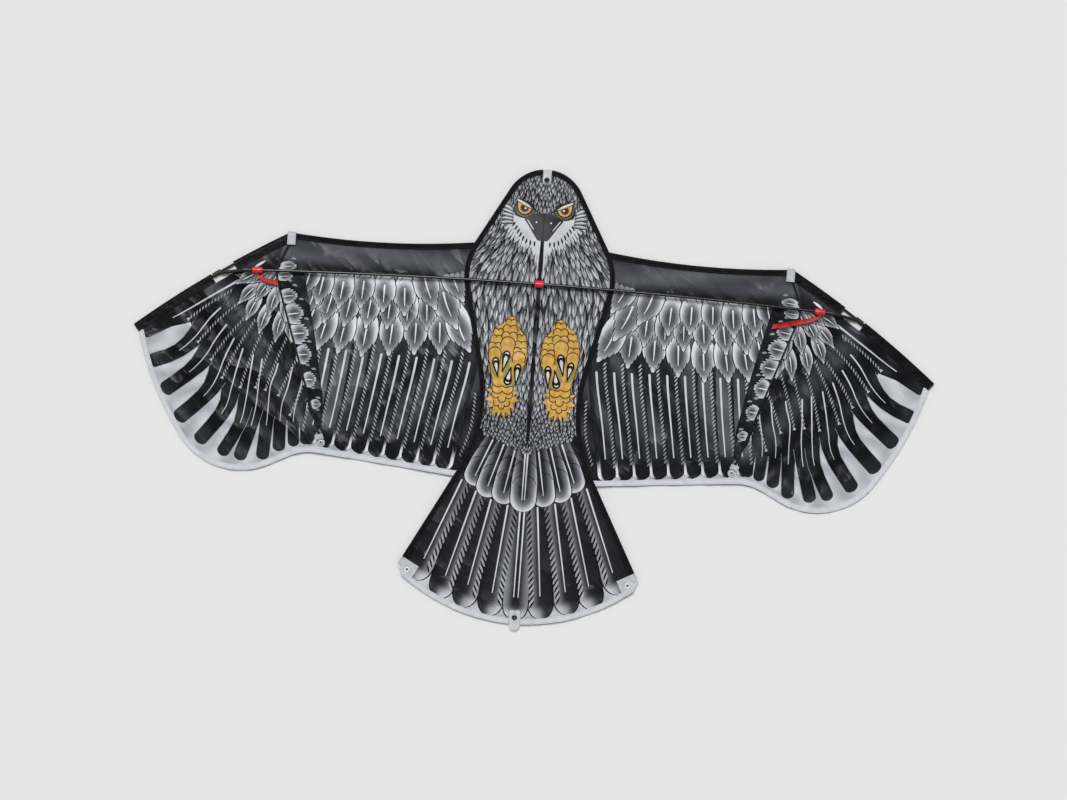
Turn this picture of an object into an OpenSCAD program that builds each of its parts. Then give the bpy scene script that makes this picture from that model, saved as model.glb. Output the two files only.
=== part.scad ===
// Bird-of-prey scarer kite: printed cloth sails on fibreglass rods, lying face up.
// Millimetres. X runs along the span, +Y to the head, +Z up from the ground to the printed face.
// The origin is on the ground under the middle of the kite. Outlines are drawn for the +X side,
// and the -X side is its mirror image.

/* [Body outline] */
// Height of the crown above the middle of the kite
head_top_y = 315.5; // [300:0.5:330]
// Radius of the rounded crown
crown_r = 56; // [44:1:60]
// Half width at the corner of the breast, before it is rounded
breast_x = 109; // [100:1:120]
// Height of the corner of the breast
breast_y = 179; // [165:1:195]
// Radius that rounds the breast
breast_r = 88; // [60:1:110]
// Half width at the corner of the waist, before it is rounded
waist_x = 57; // [48:1:66]
// Height of the corner of the waist
waist_y = -35; // [-50:1:-20]
// Radius that rounds the waist
waist_r = 206; // [150:1:230]
// Half width of the tail at its corners
tail_x = 165; // [150:1:180]
// Height of the tail corners
tail_y = -237; // [-250:1:-225]
// Length of the short edge below each tail corner
tail_edge = 16; // [10:1:22]
// Height of the tail's lower edge on the centre line
tail_end_y = -308; // [-320:1:-300]

/* [Wing outline] */
// Half width at which the wing's top edge leaves the neck
neck_x = 92; // [80:1:100]
// Height of the wing's top edge at the neck
neck_y = 209; // [200:1:220]
// Hollow of the top edge between the neck and the shoulder
top_sag = 7; // [3:0.5:12]
// Distance of the shoulder from the centre line
shoulder_x = 345; // [330:1:360]
// Height of the shoulder
shoulder_y = 204; // [195:1:215]
// Distance of the wing tip from the centre line
tip_x = 549.5; // [530:0.5:570]
// Height of the wing tip
tip_y = 63; // [50:1:75]
// Width of the wing tip's square end
tip_w = 11; // [8:0.5:14]
// Outward bow of the leading edge, pushed out by the spar
lead_bow = 5.5; // [3:0.5:10]
// Distance of the outer edge's corner from the centre line, before it is rounded
outer_x = 523; // [510:1:535]
// Height of the outer edge's corner
outer_y = -14.5; // [-25:0.5:-5]
// Radius that rounds the outer edge
outer_r = 380; // [250:5:420]
// Distance of the wing's lower lobe from the centre line, before it is rounded
lobe_x = 431; // [415:1:445]
// Height of the lower lobe's corner
lobe_y = -156; // [-170:1:-145]
// Radius that rounds the lower lobe
lobe_r = 100; // [80:1:108]
// Distance of the notch in the trailing edge from the centre line
notch_x = 306.5; // [295:0.5:320]
// Height of the notch in the trailing edge
notch_y = -92.4; // [-100:0.2:-85]
// Radius that rounds the notch
notch_r = 70; // [40:1:90]
// Half width at which the trailing edge meets the waist
root_x = 95; // [85:1:105]
// Height of the trailing edge at the waist
root_y = -112; // [-125:1:-100]

/* [Cloth] */
// Thickness of the sail cloth
sail_t = 0.8; // [0.5:0.1:1.2]
// Thickness of the hems and tapes on it
tape_t = 0.8; // [0.5:0.1:1.2]
// Width of the black binding round the body
binding_w = 7; // [5:0.5:9]
// Width of the leading edge sleeve
lead_w = 13; // [10:0.5:16]
// Width of the black hem on the wing's top edge
top_hem_w = 8; // [6:0.5:10]
// Width of the white hems
hem_w = 7.5; // [5:0.5:9]
// Gap between the two sails at the centre seam
seam_gap = 0.2; // [0.1:0.1:0.6]
// Wall of the rod sleeves
sleeve_wall = 0.5; // [0.4:0.1:0.8]
// Width of the tape that the spine sleeve is sewn on
spine_tape_w = 12; // [8:0.5:16]
// Thickness of that tape
spine_tape_t = 0.4; // [0.3:0.1:0.6]

/* [Rods] */
// Diameter of the spine
spine_d = 3.2; // [2.5:0.1:4]
// Diameter of the thin rods round the body
edge_rod_d = 2; // [1.5:0.1:2.4]
// Diameter of the leading edge rods
lead_rod_d = 3.2; // [2.5:0.1:3.8]
// Diameter of the wing struts
strut_d = 2.6; // [2:0.1:3.5]
// Diameter of the cross spar
spar_d = 4.2; // [3:0.1:5]
// Clearance round a rod in its sleeve or fitting
rod_fit = 0.1; // [0.05:0.01:0.15]
// Clearance between rods that cross
cross_gap = 0.3; // [0.2:0.1:0.8]
// Depth to which rod ends sit in their pockets
pocket_grip = 15; // [10:1:20]

/* [Cross spar] */
// Height of the spar on the centre line
spar_y = 158; // [150:1:166]
// Distance of the spar's outer end from the centre line
spar_reach = 403; // [396:1:410]
// Fall of the spar's outer end below its middle
spar_drop = 10.2; // [6:0.2:14]
// Distance of each half's inner end from the centre line
spar_inner = 2.6; // [2.4:0.1:3.5]
// Outside diameter of the red centre connector
connector_d = 10; // [8:0.5:10]
// Length of the centre connector
connector_l = 12.4; // [10:0.2:16]
// Diameter of the connector's stem through the seam
stem_d = 4; // [3:0.2:5]
// Length of the connector's grip on the spine
saddle_l = 9; // [6:0.5:12]
// Gap between a red stop and the end fitting
stop_gap = 1; // [0.5:0.5:6]
// Outside diameter of a red stop
stop_d = 8.5; // [7:0.5:9]
// Length of a red stop
stop_l = 14; // [10:0.5:15]
// Outside diameter of the end fitting on the spar
fitting_d = 7; // [6:0.2:8]
// Length of the spar's end inside its fitting
fitting_grip = 10; // [6:0.5:10]
// Thickness of the fitting's neck
neck_d = 4.6; // [3.5:0.1:5]
// Reach of the neck along the span, from the spar's end to the eye on the leading edge rod
neck_reach = 38; // [33:1:45]
// Length of that eye along the rod
eye_l = 12; // [8:0.5:14]
// Length of the sleeve's opening above the eye's middle
opening_up = 27; // [27:0.5:32]
// Length of the sleeve's opening below the eye's middle
opening_down = 8; // [8:0.5:12]

/* [Struts and tabs] */
// Distance of the strut's upper end from the shoulder, towards the centre line
strut_in = 3; // [1:0.5:5]
// Distance of the strut's upper end below the shoulder
strut_below = 9; // [7:0.5:11]
// Distance along the span from the red stop to the strut's bend under the spar
strut_clear = 16; // [12:1:23]
// Radius of that bend
strut_bend_r = 45; // [30:1:60]
// Distance of the strut's eyelet from the centre line
strut_eye_x = 282; // [276:1:288]
// Height of the strut's eyelet
strut_eye_y = -80; // [-82:0.5:-70]
// Width of the tabs that hold the rods' ends
tab_w = 11; // [10:0.5:13]
// Length of a shoulder tab
shoulder_tab_l = 18; // [14:0.5:22]
// Height of a shoulder tab above the shoulder
shoulder_tab_rise = 1; // [0.5:0.1:2]
// Wall of the tabs
tab_t = 0.8; // [0.5:0.1:1.2]
// Thickness of a shoulder tab under the strut
tab_floor = 0.4; // [0.3:0.1:0.8]
// Length of the strut inside its lower tab
strut_grip = 7; // [5:0.5:10]
// Length of a tail corner tab along the tail's side
corner_tab_l = 24; // [20:1:30]
// Width of a tail corner tab
corner_tab_w = 27; // [24:1:32]
// Distance of the tail corner eyelet from the tail's side
corner_eye_in = 15.5; // [14:0.5:18]
// Height of the head tab above the crown
head_tab_rise = 1; // [0.5:0.1:2]
// Length of the head tab on the printed face
head_tab_l = 20; // [18:0.5:26]
// Distance of the head eyelet from the top of its tab
head_eye_in = 15.5; // [14:0.5:16]
// Width of the tail tab
tail_tab_w = 15; // [12:0.5:18]
// Length of the tail tab below the tail's edge
tail_tab_drop = 8.5; // [6:0.5:12]
// Length of the tail tab
tail_tab_l = 27; // [24:0.5:32]
// Distance of the tail eyelet from the end of its tab
tail_eye_in = 17.5; // [14:0.5:19]
// Gap round the head and tail tabs in the sails
tab_gap = 0.5; // [0.4:0.1:1]

/* [Eyelets] */
// Diameter of an eyelet's hole
eye_hole_d = 3; // [2:0.1:3.4]
// Outside diameter of an eyelet's barrel
eye_barrel_d = 4.4; // [4.2:0.1:5]
// Diameter of an eyelet's rim
eye_rim_d = 8; // [6:0.5:9]
// Thickness of an eyelet's rim
eye_rim_t = 0.8; // [0.5:0.1:0.8]

/* [Ribbons] */
// Width of a red ribbon
ribbon_w = 6; // [4:0.5:8]
// Thickness of a red ribbon
ribbon_t = 0.8; // [0.5:0.1:1]
// Length of the right ribbon
right_ribbon_l = 66; // [40:1:90]
// Length of the left ribbon's short end
left_ribbon_l = 30; // [20:1:40]
// Slope of the ribbons against the span, in degrees
ribbon_slope = 15; // [5:1:20]
// Gap between a ribbon and the side of its stop
ribbon_gap = 0.3; // [0.3:0.05:0.5]

/* [Hidden] */

// Fineness of rods and holes, of bends seen in plan and of long arcs
rod_fn = 32;
$fn = rod_fn;
bend_step = 3;
arc_steps = 8;
long_arc_fn = 2880;
// A corner whose turn has a sine below this is straight
straight_sine = 0.000001;
// A cut runs this far past the face that it leaves
past = 1;

// Heights, from the ground up
sleeve_d = spine_d + 2 * (rod_fit + sleeve_wall);
spine_z = sleeve_d / 2;
layer_gap = 0.1;
sail_z = sleeve_d + layer_gap;
sail_top = sail_z + sail_t;
tape_top = sail_top + tape_t;
tube_rise = 0.3;
tube_d = tape_top + tube_rise;
lead_rod_z = tube_d / 2;
binding_t = edge_rod_d + 2 * (rod_fit + sleeve_wall);
edge_rod_z = tape_top - binding_t / 2;
strut_z = tube_d + tab_floor + rod_fit + strut_d / 2;
strut_top_z = strut_z + strut_d / 2;
tab_top = strut_top_z + rod_fit + tab_t;
spar_z = strut_top_z + cross_gap + spar_d / 2;
ribbon_z = strut_top_z + cross_gap;

// Plane geometry
function unit(v) = v / norm(v);
function left_of(v) = [-v[1], v[0]];
function angle_of(v) = atan2(v[1], v[0]);
function cross2(a, b) = a[0] * b[1] - a[1] * b[0];
function polar(r, a) = r * [cos(a), sin(a)];
function meet(p, u, q, v) = p + u * cross2(q - p, v) / cross2(u, v);

// A path is a list of corners [x, y, radius]. Its corners are rounded by their radius.
function at(path, i) = [path[i][0], path[i][1]];
function leg(path, i) = unit(at(path, i + 1) - at(path, i));
function is_end(path, i) = i == 0 || i == len(path) - 1;
function turn(path, i) =
    atan2(cross2(leg(path, i - 1), leg(path, i)), leg(path, i - 1) * leg(path, i));
function reach(path, i) = path[i][2] * tan(abs(turn(path, i)) / 2);
function enter(path, i) =
    is_end(path, i) ? at(path, i) : at(path, i) - leg(path, i - 1) * reach(path, i);
function leave(path, i) =
    is_end(path, i) ? at(path, i) : at(path, i) + leg(path, i) * reach(path, i);
function hub(path, i) =
    enter(path, i) + left_of(leg(path, i - 1)) * path[i][2] * sign(turn(path, i));
function bend_points(path, i) =
    let (
        c = hub(path, i),
        a = angle_of(enter(path, i) - c),
        s = turn(path, i),
        n = ceil(abs(s) / bend_step)
    )
    [for (k = [0:n]) c + polar(path[i][2], a + s * k / n)];
function traced(path) =
    [for (i = [0:len(path) - 1]) each is_end(path, i) ? [at(path, i)] : bend_points(path, i)];

// The path moved sideways by d to its left, with its bends kept concentric
function moved_corner(path, i, d) =
    let (
        u = leg(path, max(i - 1, 0)),
        v = leg(path, min(i, len(path) - 2)),
        b = at(path, i),
        straight = abs(cross2(u, v)) < straight_sine
    )
    straight ? b + d * left_of(u) : meet(b + d * left_of(u), u, b + d * left_of(v), v);
function moved_radius(path, i, d) = is_end(path, i) ? 0 : path[i][2] - sign(turn(path, i)) * d;
function moved(path, d) =
    [for (i = [0:len(path) - 1]) concat(moved_corner(path, i, d), [moved_radius(path, i, d)])];
function reversed(list) = [for (i = [len(list) - 1:-1:0]) list[i]];
// The strip between a path and the same path moved sideways
function strip(path, from, to) =
    concat(traced(moved(path, from)), reversed(traced(moved(path, to))));

// An arc from p to q that bows to the left by the given height: [centre, radius]
function arc_of(p, q, bow) =
    let (
        r = (pow(norm(q - p) / 2, 2) + bow * bow) / (2 * abs(bow)),
        n = left_of(unit(q - p)) * sign(bow)
    )
    [(p + q) / 2 + n * (abs(bow) - r), r];
function sweep(a, b) = (b - a + 540) % 360 - 180;
// Points along the arc, moved away from its centre by out
function arc_points(arc, p, q, out = 0) =
    let (a = angle_of(p - arc[0]), s = sweep(a, angle_of(q - arc[0])), n = max(arc_steps, ceil(abs(s))))
    [for (k = [0:n]) arc[0] + polar(arc[1] + out, a + s * k / n)];
function arc_strip(arc, p, q, from, to) =
    concat(arc_points(arc, p, q, from), reversed(arc_points(arc, p, q, to)));

// The body's edge runs from the crown, over breast and waist, to the tail corner
crown_hub = [0, head_top_y - crown_r];
breast = [breast_x, breast_y];
flank_reach = norm(breast - crown_hub);
crown_side = crown_hub + polar(crown_r, angle_of(breast - crown_hub) + acos(crown_r / flank_reach));
crown = [0, head_top_y];
crown_corner = meet(crown, [1, 0], breast, unit(crown_side - breast));
body_edge = [
    [0, head_top_y, 0],
    [crown_corner[0], crown_corner[1], crown_r],
    [breast_x, breast_y, breast_r],
    [waist_x, waist_y, waist_r],
    [tail_x, tail_y, 0]
];
edge_rod_path = moved(body_edge, -binding_w / 2);
tail_corner = [tail_x, tail_y];
tail_side = unit(tail_corner - [waist_x, waist_y]);
tail_inward = -left_of(tail_side);
tail_edge_slope = -110;
tail_low = tail_corner + polar(tail_edge, tail_edge_slope);
tail_end = [0, tail_end_y];
tail_depth = tail_low[1] - tail_end_y;
tail_r = (pow(tail_low[0], 2) + pow(tail_depth, 2)) / (2 * tail_depth);
tail_arc = [[0, tail_end_y + tail_r], tail_r];

// The wing's edges
neck = [neck_x, neck_y];
shoulder = [shoulder_x, shoulder_y];
tip = [tip_x, tip_y];
top_arc = arc_of(neck, shoulder, -top_sag);
lead_arc = arc_of(shoulder, tip, lead_bow);
lead_hub = lead_arc[0];
lead_r = lead_arc[1];
lead_rod_r = lead_r - tube_d / 2;
lead_top_a = angle_of(shoulder - lead_hub);
lead_tip_a = angle_of(tip - lead_hub);
tip_low = tip - polar(tip_w, lead_tip_a);
trailing = [
    [tip_low[0], tip_low[1], 0],
    [outer_x, outer_y, outer_r],
    [lobe_x, lobe_y, lobe_r],
    [notch_x, notch_y, notch_r],
    [root_x, root_y, 0]
];

// The spar is one shallow arc across both wings
spar_r = (spar_reach * spar_reach + spar_drop * spar_drop) / (2 * spar_drop);
spar_hub_y = spar_y - spar_r;
function spar_heading(x) = -asin(x / spar_r);
function spar_at(x) = [x, spar_hub_y + spar_r * cos(spar_heading(x))];

// The red stop beside the end fitting, and the fitting's eye on the leading edge rod
stop_x = spar_reach - fitting_grip - stop_gap - stop_l / 2;
eye_x = spar_reach + neck_reach;
eye_a = acos((eye_x - lead_hub[0]) / lead_rod_r);
eye_point = lead_hub + polar(lead_rod_r, eye_a);
neck_start = [spar_at(spar_reach)[0], spar_at(spar_reach)[1], spar_z];
neck_end = [eye_point[0], eye_point[1], lead_rod_z];

// The strut runs from the shoulder tab, round its bend, to the strut tab
strut_eye = [strut_eye_x, strut_eye_y];
strut_bend = spar_at(stop_x - stop_l / 2 - strut_clear);
strut_dir = unit(strut_eye - strut_bend);
strut_low = strut_eye - strut_dir * (eye_rim_d / 2 + tab_t);
strut_top = shoulder - [strut_in, strut_below];
strut_path = [
    [strut_top[0], strut_top[1], 0],
    [strut_bend[0], strut_bend[1], strut_bend_r],
    [strut_low[0], strut_low[1], 0]
];

// Places on the centre line
head_tab_top = head_top_y + head_tab_rise;
head_eye = [0, head_tab_top - head_eye_in];
spine_top = head_eye[1] - eye_rim_d / 2 - tab_t;
tail_tab_end = tail_end_y - tail_tab_drop;
tail_eye = [0, tail_tab_end + tail_eye_in];
spine_low = tail_eye[1] + eye_rim_d / 2 + tab_t;
spine_pocket_top = spine_top - pocket_grip;
spine_pocket_low = spine_low + pocket_grip;
corner_eye = tail_corner + tail_inward * corner_eye_in;

// Ribbons start beside their stop
ribbon_root = spar_at(stop_x) - [0, stop_d / 2 + ribbon_w / 2 + ribbon_gap];

// Colours
printed_body = "#8d8d92";
printed_wing = "#4a4b50";
black_tape = "#141416";
white_tape = "#dcdce4";
clear_pocket = "#c9ced6";
black_rod = "#1b1b1d";
red_soft = "#c8202c";
red_ribbon = "#c42a2a";
white_metal = "#e4e4e6";
dark_metal = "#2a2a2c";

// Shared shapes
module layer(z, t) {
    translate([0, 0, z])
    linear_extrude(t)
    children();
}

module left_side() {
    mirror([1, 0, 0])
    children();
}

// A rod through a list of points at height z: one closed tube with a ring at each point
rod_sides = 10;
function ring_normal(points, i) =
    left_of(unit(unit(points[min(i + 1, len(points) - 1)] - points[i == len(points) - 1 ? i - 1 : i])
        + unit(points[i == 0 ? 1 : i] - points[max(i - 1, 0)])));
function ring(points, i, r, z) =
    [for (k = [0:rod_sides - 1])
        let (a = 360 * k / rod_sides, p = points[i] + ring_normal(points, i) * r * cos(a))
        [p[0], p[1], z + r * sin(a)]];
module rod_through(points, d, z) {
    last = len(points) - 1;
    polyhedron(
        points = [for (i = [0:last]) each ring(points, i, d / 2, z)],
        faces = concat(
            [[for (k = [0:rod_sides - 1]) k]],
            [[for (k = [rod_sides - 1:-1:0]) last * rod_sides + k]],
            [for (i = [0:last - 1], k = [0:rod_sides - 1], half = [0:1])
                let (a = i * rod_sides + k, b = i * rod_sides + (k + 1) % rod_sides)
                half == 0 ? [a, a + rod_sides, b] : [b, a + rod_sides, b + rod_sides]]
        )
    );
}

// The flat channel in a sleeve for a rod that follows a path
module rod_channel(path, d, z) {
    layer(z - d / 2, d)
    polygon(strip(path, d / 2, -d / 2));
}

// A straight round bar between two points in space
module bar(p, q, d) {
    v = q - p;
    translate(p)
    rotate([0, acos(v[2] / norm(v)), angle_of(v)])
    cylinder(d = d, h = norm(v));
}

// A cylinder along the spar, centred at distance x from the centre line
module on_spar(x) {
    translate([spar_at(x)[0], spar_at(x)[1], spar_z])
    rotate([0, 90, spar_heading(x)])
    children();
}

module eyelet(place, low, high) {
    translate([place[0], place[1], low])
    difference() {
        union() {
            cylinder(d = eye_barrel_d, h = high - low);
            cylinder(d = eye_rim_d, h = eye_rim_t);
            translate([0, 0, high - low - eye_rim_t])
            cylinder(d = eye_rim_d, h = eye_rim_t);
        }
        translate([0, 0, -past])
        cylinder(d = eye_hole_d, h = high - low + 2 * past);
    }
}

module eyelet_hole(place) {
    translate(place)
    circle(d = eye_barrel_d + rod_fit);
}

// Outlines
module body_outline(inset) {
    polygon(concat(
        traced(moved(body_edge, -inset)),
        inset > 0 ? [] : [tail_corner],
        arc_points(tail_arc, tail_low, tail_end)
    ));
}

module wing_outline() {
    polygon(concat(
        [[waist_x, neck_y]],
        arc_points(top_arc, neck, shoulder),
        arc_points(lead_arc, shoulder, tip),
        traced(trailing),
        [[waist_x, root_y]]
    ));
}

// The strip runs a little past the tip, so that nothing is left of the cloth there
module lead_strip(width) {
    beyond_tip = tip + unit(tip - shoulder) * past;
    polygon(arc_strip(lead_arc, shoulder, beyond_tip, past, -width));
}

module top_strip() {
    polygon(arc_strip(top_arc, neck, shoulder, -past, top_hem_w));
}

// The part of the leading edge that is left open for the spar's end fitting
module lead_opening() {
    translate(lead_hub)
    rotate(eye_a)
    translate([lead_r - lead_w - past, -opening_down])
    square([lead_w + 2 * past, opening_up + opening_down]);
}

// The space that the head tab, the tail tab and the connector's stem take at the centre seam
module seam_cuts() {
    translate([-past, tail_end_y - past])
    square([past + seam_gap / 2, head_top_y - tail_end_y + 2 * past]);
    translate([-past, head_tab_top - head_tab_l - tab_gap])
    square([past + tab_w / 2 + tab_gap, head_tab_l + past]);
    translate([-past, tail_tab_end - past])
    square([past + tail_tab_w / 2 + tab_gap, tail_tab_l + tab_gap + past]);
    translate([0, spar_y])
    circle(d = stem_d + 2 * tab_gap);
}

// Centre line
module spine() {
    color(black_rod)
    translate([0, spine_low, spine_z])
    rotate([-90, 0, 0])
    cylinder(d = spine_d, h = spine_top - spine_low);
}

module spine_sleeve() {
    sleeve_top = spine_pocket_top - tab_gap;
    sleeve_low = spine_pocket_low + tab_gap;
    window = saddle_l + 2 * tab_gap;
    color(black_tape)
    difference() {
        union() {
            translate([0, sleeve_low, spine_z])
            rotate([-90, 0, 0])
            cylinder(d = sleeve_d, h = sleeve_top - sleeve_low);
            translate([-spine_tape_w / 2, sleeve_low, sleeve_d - sleeve_wall - spine_tape_t])
            cube([spine_tape_w, sleeve_top - sleeve_low, spine_tape_t]);
        }
        translate([0, sleeve_low - past, spine_z])
        rotate([-90, 0, 0])
        cylinder(d = spine_d + 2 * rod_fit, h = sleeve_top - sleeve_low + 2 * past);
        translate([-spine_tape_w, spar_y - window / 2, -past])
        cube([2 * spine_tape_w, window, sleeve_d + 2 * past]);
    }
}

module centre_connector() {
    color(red_soft)
    difference() {
        union() {
            translate([-connector_l / 2, spar_y, spar_z])
            rotate([0, 90, 0])
            cylinder(d = connector_d, h = connector_l);
            translate([0, spar_y, spine_z])
            cylinder(d = stem_d, h = spar_z - spine_z);
            translate([0, spar_y - saddle_l / 2, spine_z])
            rotate([-90, 0, 0])
            cylinder(d = sleeve_d, h = saddle_l);
        }
        translate([-connector_l / 2 - past, spar_y, spar_z])
        rotate([0, 90, 0])
        cylinder(d = spar_d + 2 * rod_fit, h = connector_l + 2 * past);
        translate([0, spar_y - saddle_l / 2 - past, spine_z])
        rotate([-90, 0, 0])
        cylinder(d = spine_d + 2 * rod_fit, h = saddle_l + 2 * past);
    }
}

module spine_channel() {
    translate([0, spine_low - rod_fit, spine_z])
    rotate([-90, 0, 0])
    cylinder(d = spine_d + 2 * rod_fit, h = spine_top - spine_low + 2 * rod_fit);
}

module head_tab() {
    color(clear_pocket)
    difference() {
        union() {
            layer(sleeve_d, tape_top + tab_t - sleeve_d)
            translate([-tab_w / 2, head_tab_top - head_tab_l])
            square([tab_w, head_tab_l]);
            layer(eye_rim_t, sleeve_d - eye_rim_t)
            translate([-tab_w / 2, spine_pocket_top])
            square([tab_w, head_tab_top - spine_pocket_top]);
        }
        spine_channel();
        layer(-past, tab_top + past)
        eyelet_hole(head_eye);
    }
}

module head_eyelet() {
    color(dark_metal)
    eyelet(head_eye, 0, tape_top + tab_t + eye_rim_t);
}

module tail_tab_outline(top) {
    r = tail_tab_w / 2;
    translate([0, tail_tab_end + r])
    circle(r = r);
    translate([-r, tail_tab_end + r])
    square([tail_tab_w, top - tail_tab_end - r]);
}

module tail_tab() {
    color(clear_pocket)
    difference() {
        union() {
            layer(sleeve_d, tape_top + tab_t - sleeve_d)
            tail_tab_outline(tail_tab_end + tail_tab_l);
            layer(eye_rim_t, sleeve_d - eye_rim_t)
            tail_tab_outline(spine_pocket_low);
        }
        spine_channel();
        layer(-past, tab_top + past)
        eyelet_hole(tail_eye);
    }
}

module tail_eyelet() {
    color(dark_metal)
    eyelet(tail_eye, 0, tape_top + tab_t + eye_rim_t);
}

// Sails
module body_sail() {
    color(printed_body)
    layer(sail_z, sail_t)
    difference() {
        body_outline(binding_w);
        seam_cuts();
        eyelet_hole(corner_eye);
    }
}

module wing_sail() {
    color(printed_wing)
    difference() {
        layer(sail_z, sail_t)
        difference() {
            wing_outline();
            body_outline(0);
            lead_strip(tube_d + layer_gap);
            lead_opening();
            eyelet_hole(strut_eye);
        }
        bar(neck_start, neck_end, neck_d + 2 * cross_gap);
    }
}

module body_binding() {
    color(black_tape)
    difference() {
        layer(tape_top - binding_t, binding_t)
        difference() {
            polygon(strip(body_edge, 0, -binding_w));
            seam_cuts();
        }
        rod_channel(edge_rod_path, edge_rod_d + 2 * rod_fit, edge_rod_z);
    }
}

module body_edge_rod() {
    rod_start = tab_w / 2 + tab_gap + sleeve_wall;
    color(black_rod)
    rod_through([for (p = traced(edge_rod_path)) if (p[0] > rod_start) p], edge_rod_d, edge_rod_z);
}

module top_hem() {
    color(black_tape)
    layer(sail_top, tape_t)
    difference() {
        intersection() {
            wing_outline();
            top_strip();
        }
        body_outline(0);
        lead_strip(lead_w);
    }
}

module trailing_hem() {
    color(white_tape)
    layer(sail_top, tape_t)
    difference() {
        polygon(strip(trailing, 0, -hem_w));
        body_outline(0);
        lead_strip(lead_w);
    }
}

module tail_hem() {
    color(white_tape)
    layer(sail_top, tape_t)
    difference() {
        polygon(arc_strip(tail_arc, tail_low, tail_end, 0, -hem_w));
        polygon(strip(body_edge, past, -binding_w));
        seam_cuts();
    }
}

// Leading edge
module leading_edge_sleeve() {
    flange = lead_w - tube_d / 2;
    color(black_tape)
    difference() {
        translate(lead_hub)
        rotate([0, 0, lead_tip_a])
        rotate_extrude(angle = lead_top_a - lead_tip_a, $fn = long_arc_fn)
        difference() {
            union() {
                translate([lead_rod_r, lead_rod_z])
                circle(d = tube_d, $fn = rod_fn);
                translate([lead_r - lead_w, sail_top])
                square([flange, tape_t]);
            }
            translate([lead_rod_r, lead_rod_z])
            circle(d = lead_rod_d + 2 * rod_fit, $fn = rod_fn);
        }
        layer(-past, tab_top)
        lead_opening();
    }
}

module leading_edge_rod() {
    color(black_rod)
    translate([lead_hub[0], lead_hub[1], lead_rod_z])
    rotate([0, 0, lead_tip_a])
    rotate_extrude(angle = lead_top_a - lead_tip_a, $fn = long_arc_fn)
    translate([lead_rod_r, 0])
    circle(d = lead_rod_d, $fn = rod_fn);
}

// Struts and their tabs
module wing_strut() {
    color(black_rod)
    rod_through(traced(strut_path), strut_d, strut_z);
}

// The holes for the strut's two ends, which run past its ends by the clearance
module strut_bores() {
    bore = strut_d + 2 * rod_fit;
    for (ends = [[at(strut_path, 0), enter(strut_path, 1)], [at(strut_path, 2), leave(strut_path, 1)]])
        let (blind = ends[0] - unit(ends[1] - ends[0]) * rod_fit)
        bar([blind[0], blind[1], strut_z], [ends[1][0], ends[1][1], strut_z], bore);
}

module shoulder_tab() {
    color(white_tape)
    difference() {
        layer(tube_d, tab_top - tube_d)
        translate([strut_top[0] - tab_w / 2, shoulder_y + shoulder_tab_rise - shoulder_tab_l])
        square([tab_w, shoulder_tab_l]);
        strut_bores();
    }
}

module strut_tab() {
    pocket = strut_grip + eye_rim_d / 2 + tab_t;
    pocket_start = eye_rim_d / 2 + rod_fit;
    color(white_tape)
    difference() {
        union() {
            layer(sail_top, tape_t)
            translate(strut_eye)
            circle(d = tab_w);
            layer(sail_top, tab_top - sail_top)
            translate(strut_eye)
            rotate(angle_of(-strut_dir))
            translate([pocket_start, -tab_w / 2])
            square([pocket - pocket_start, tab_w]);
        }
        strut_bores();
        layer(-past, tab_top + past)
        eyelet_hole(strut_eye);
    }
}

module strut_eyelet() {
    color(white_metal)
    eyelet(strut_eye, sail_z - eye_rim_t, tape_top + eye_rim_t);
}

module tail_corner_tab() {
    color(clear_pocket)
    layer(tape_top, tab_t)
    difference() {
        intersection() {
            body_outline(0);
            translate(tail_corner)
            rotate(angle_of(tail_inward))
            translate([-past, -corner_tab_l / 2])
            square([corner_tab_w + past, corner_tab_l]);
        }
        eyelet_hole(corner_eye);
    }
}

module tail_corner_eyelet() {
    color(white_metal)
    eyelet(corner_eye, sail_z - eye_rim_t, tape_top + tab_t + eye_rim_t);
}

// Cross spar
module spar() {
    inner_a = spar_heading(spar_inner);
    outer_a = spar_heading(spar_reach);
    color(black_rod)
    translate([0, spar_hub_y, spar_z])
    rotate([0, 0, 90 + outer_a])
    rotate_extrude(angle = inner_a - outer_a, $fn = long_arc_fn)
    translate([spar_r, 0])
    circle(d = spar_d, $fn = rod_fn);
}

module spar_end_fitting() {
    cap = fitting_grip + tab_t;
    color(black_rod)
    difference() {
        union() {
            on_spar(spar_reach)
            translate([0, 0, -fitting_grip])
            cylinder(d = fitting_d, h = cap);
            bar(neck_start, neck_end, neck_d);
            translate(neck_end)
            rotate([90, 0, eye_a])
            cylinder(d = tube_d, h = eye_l, center = true);
        }
        on_spar(spar_reach)
        translate([0, 0, -fitting_grip - past])
        cylinder(d = spar_d + 2 * rod_fit, h = fitting_grip + past + rod_fit);
        translate(neck_end)
        rotate([90, 0, eye_a])
        cylinder(d = lead_rod_d + 2 * rod_fit, h = eye_l + 2 * past, center = true);
    }
}

module spar_stop() {
    color(red_soft)
    on_spar(stop_x)
    difference() {
        cylinder(d = stop_d, h = stop_l, center = true);
        cylinder(d = spar_d + 2 * rod_fit, h = stop_l + 2 * past, center = true);
    }
}

module ribbon(length) {
    color(red_ribbon)
    layer(ribbon_z, ribbon_t)
    translate(ribbon_root)
    rotate(180 + ribbon_slope)
    translate([0, -ribbon_w / 2])
    square([length, ribbon_w]);
}

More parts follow.
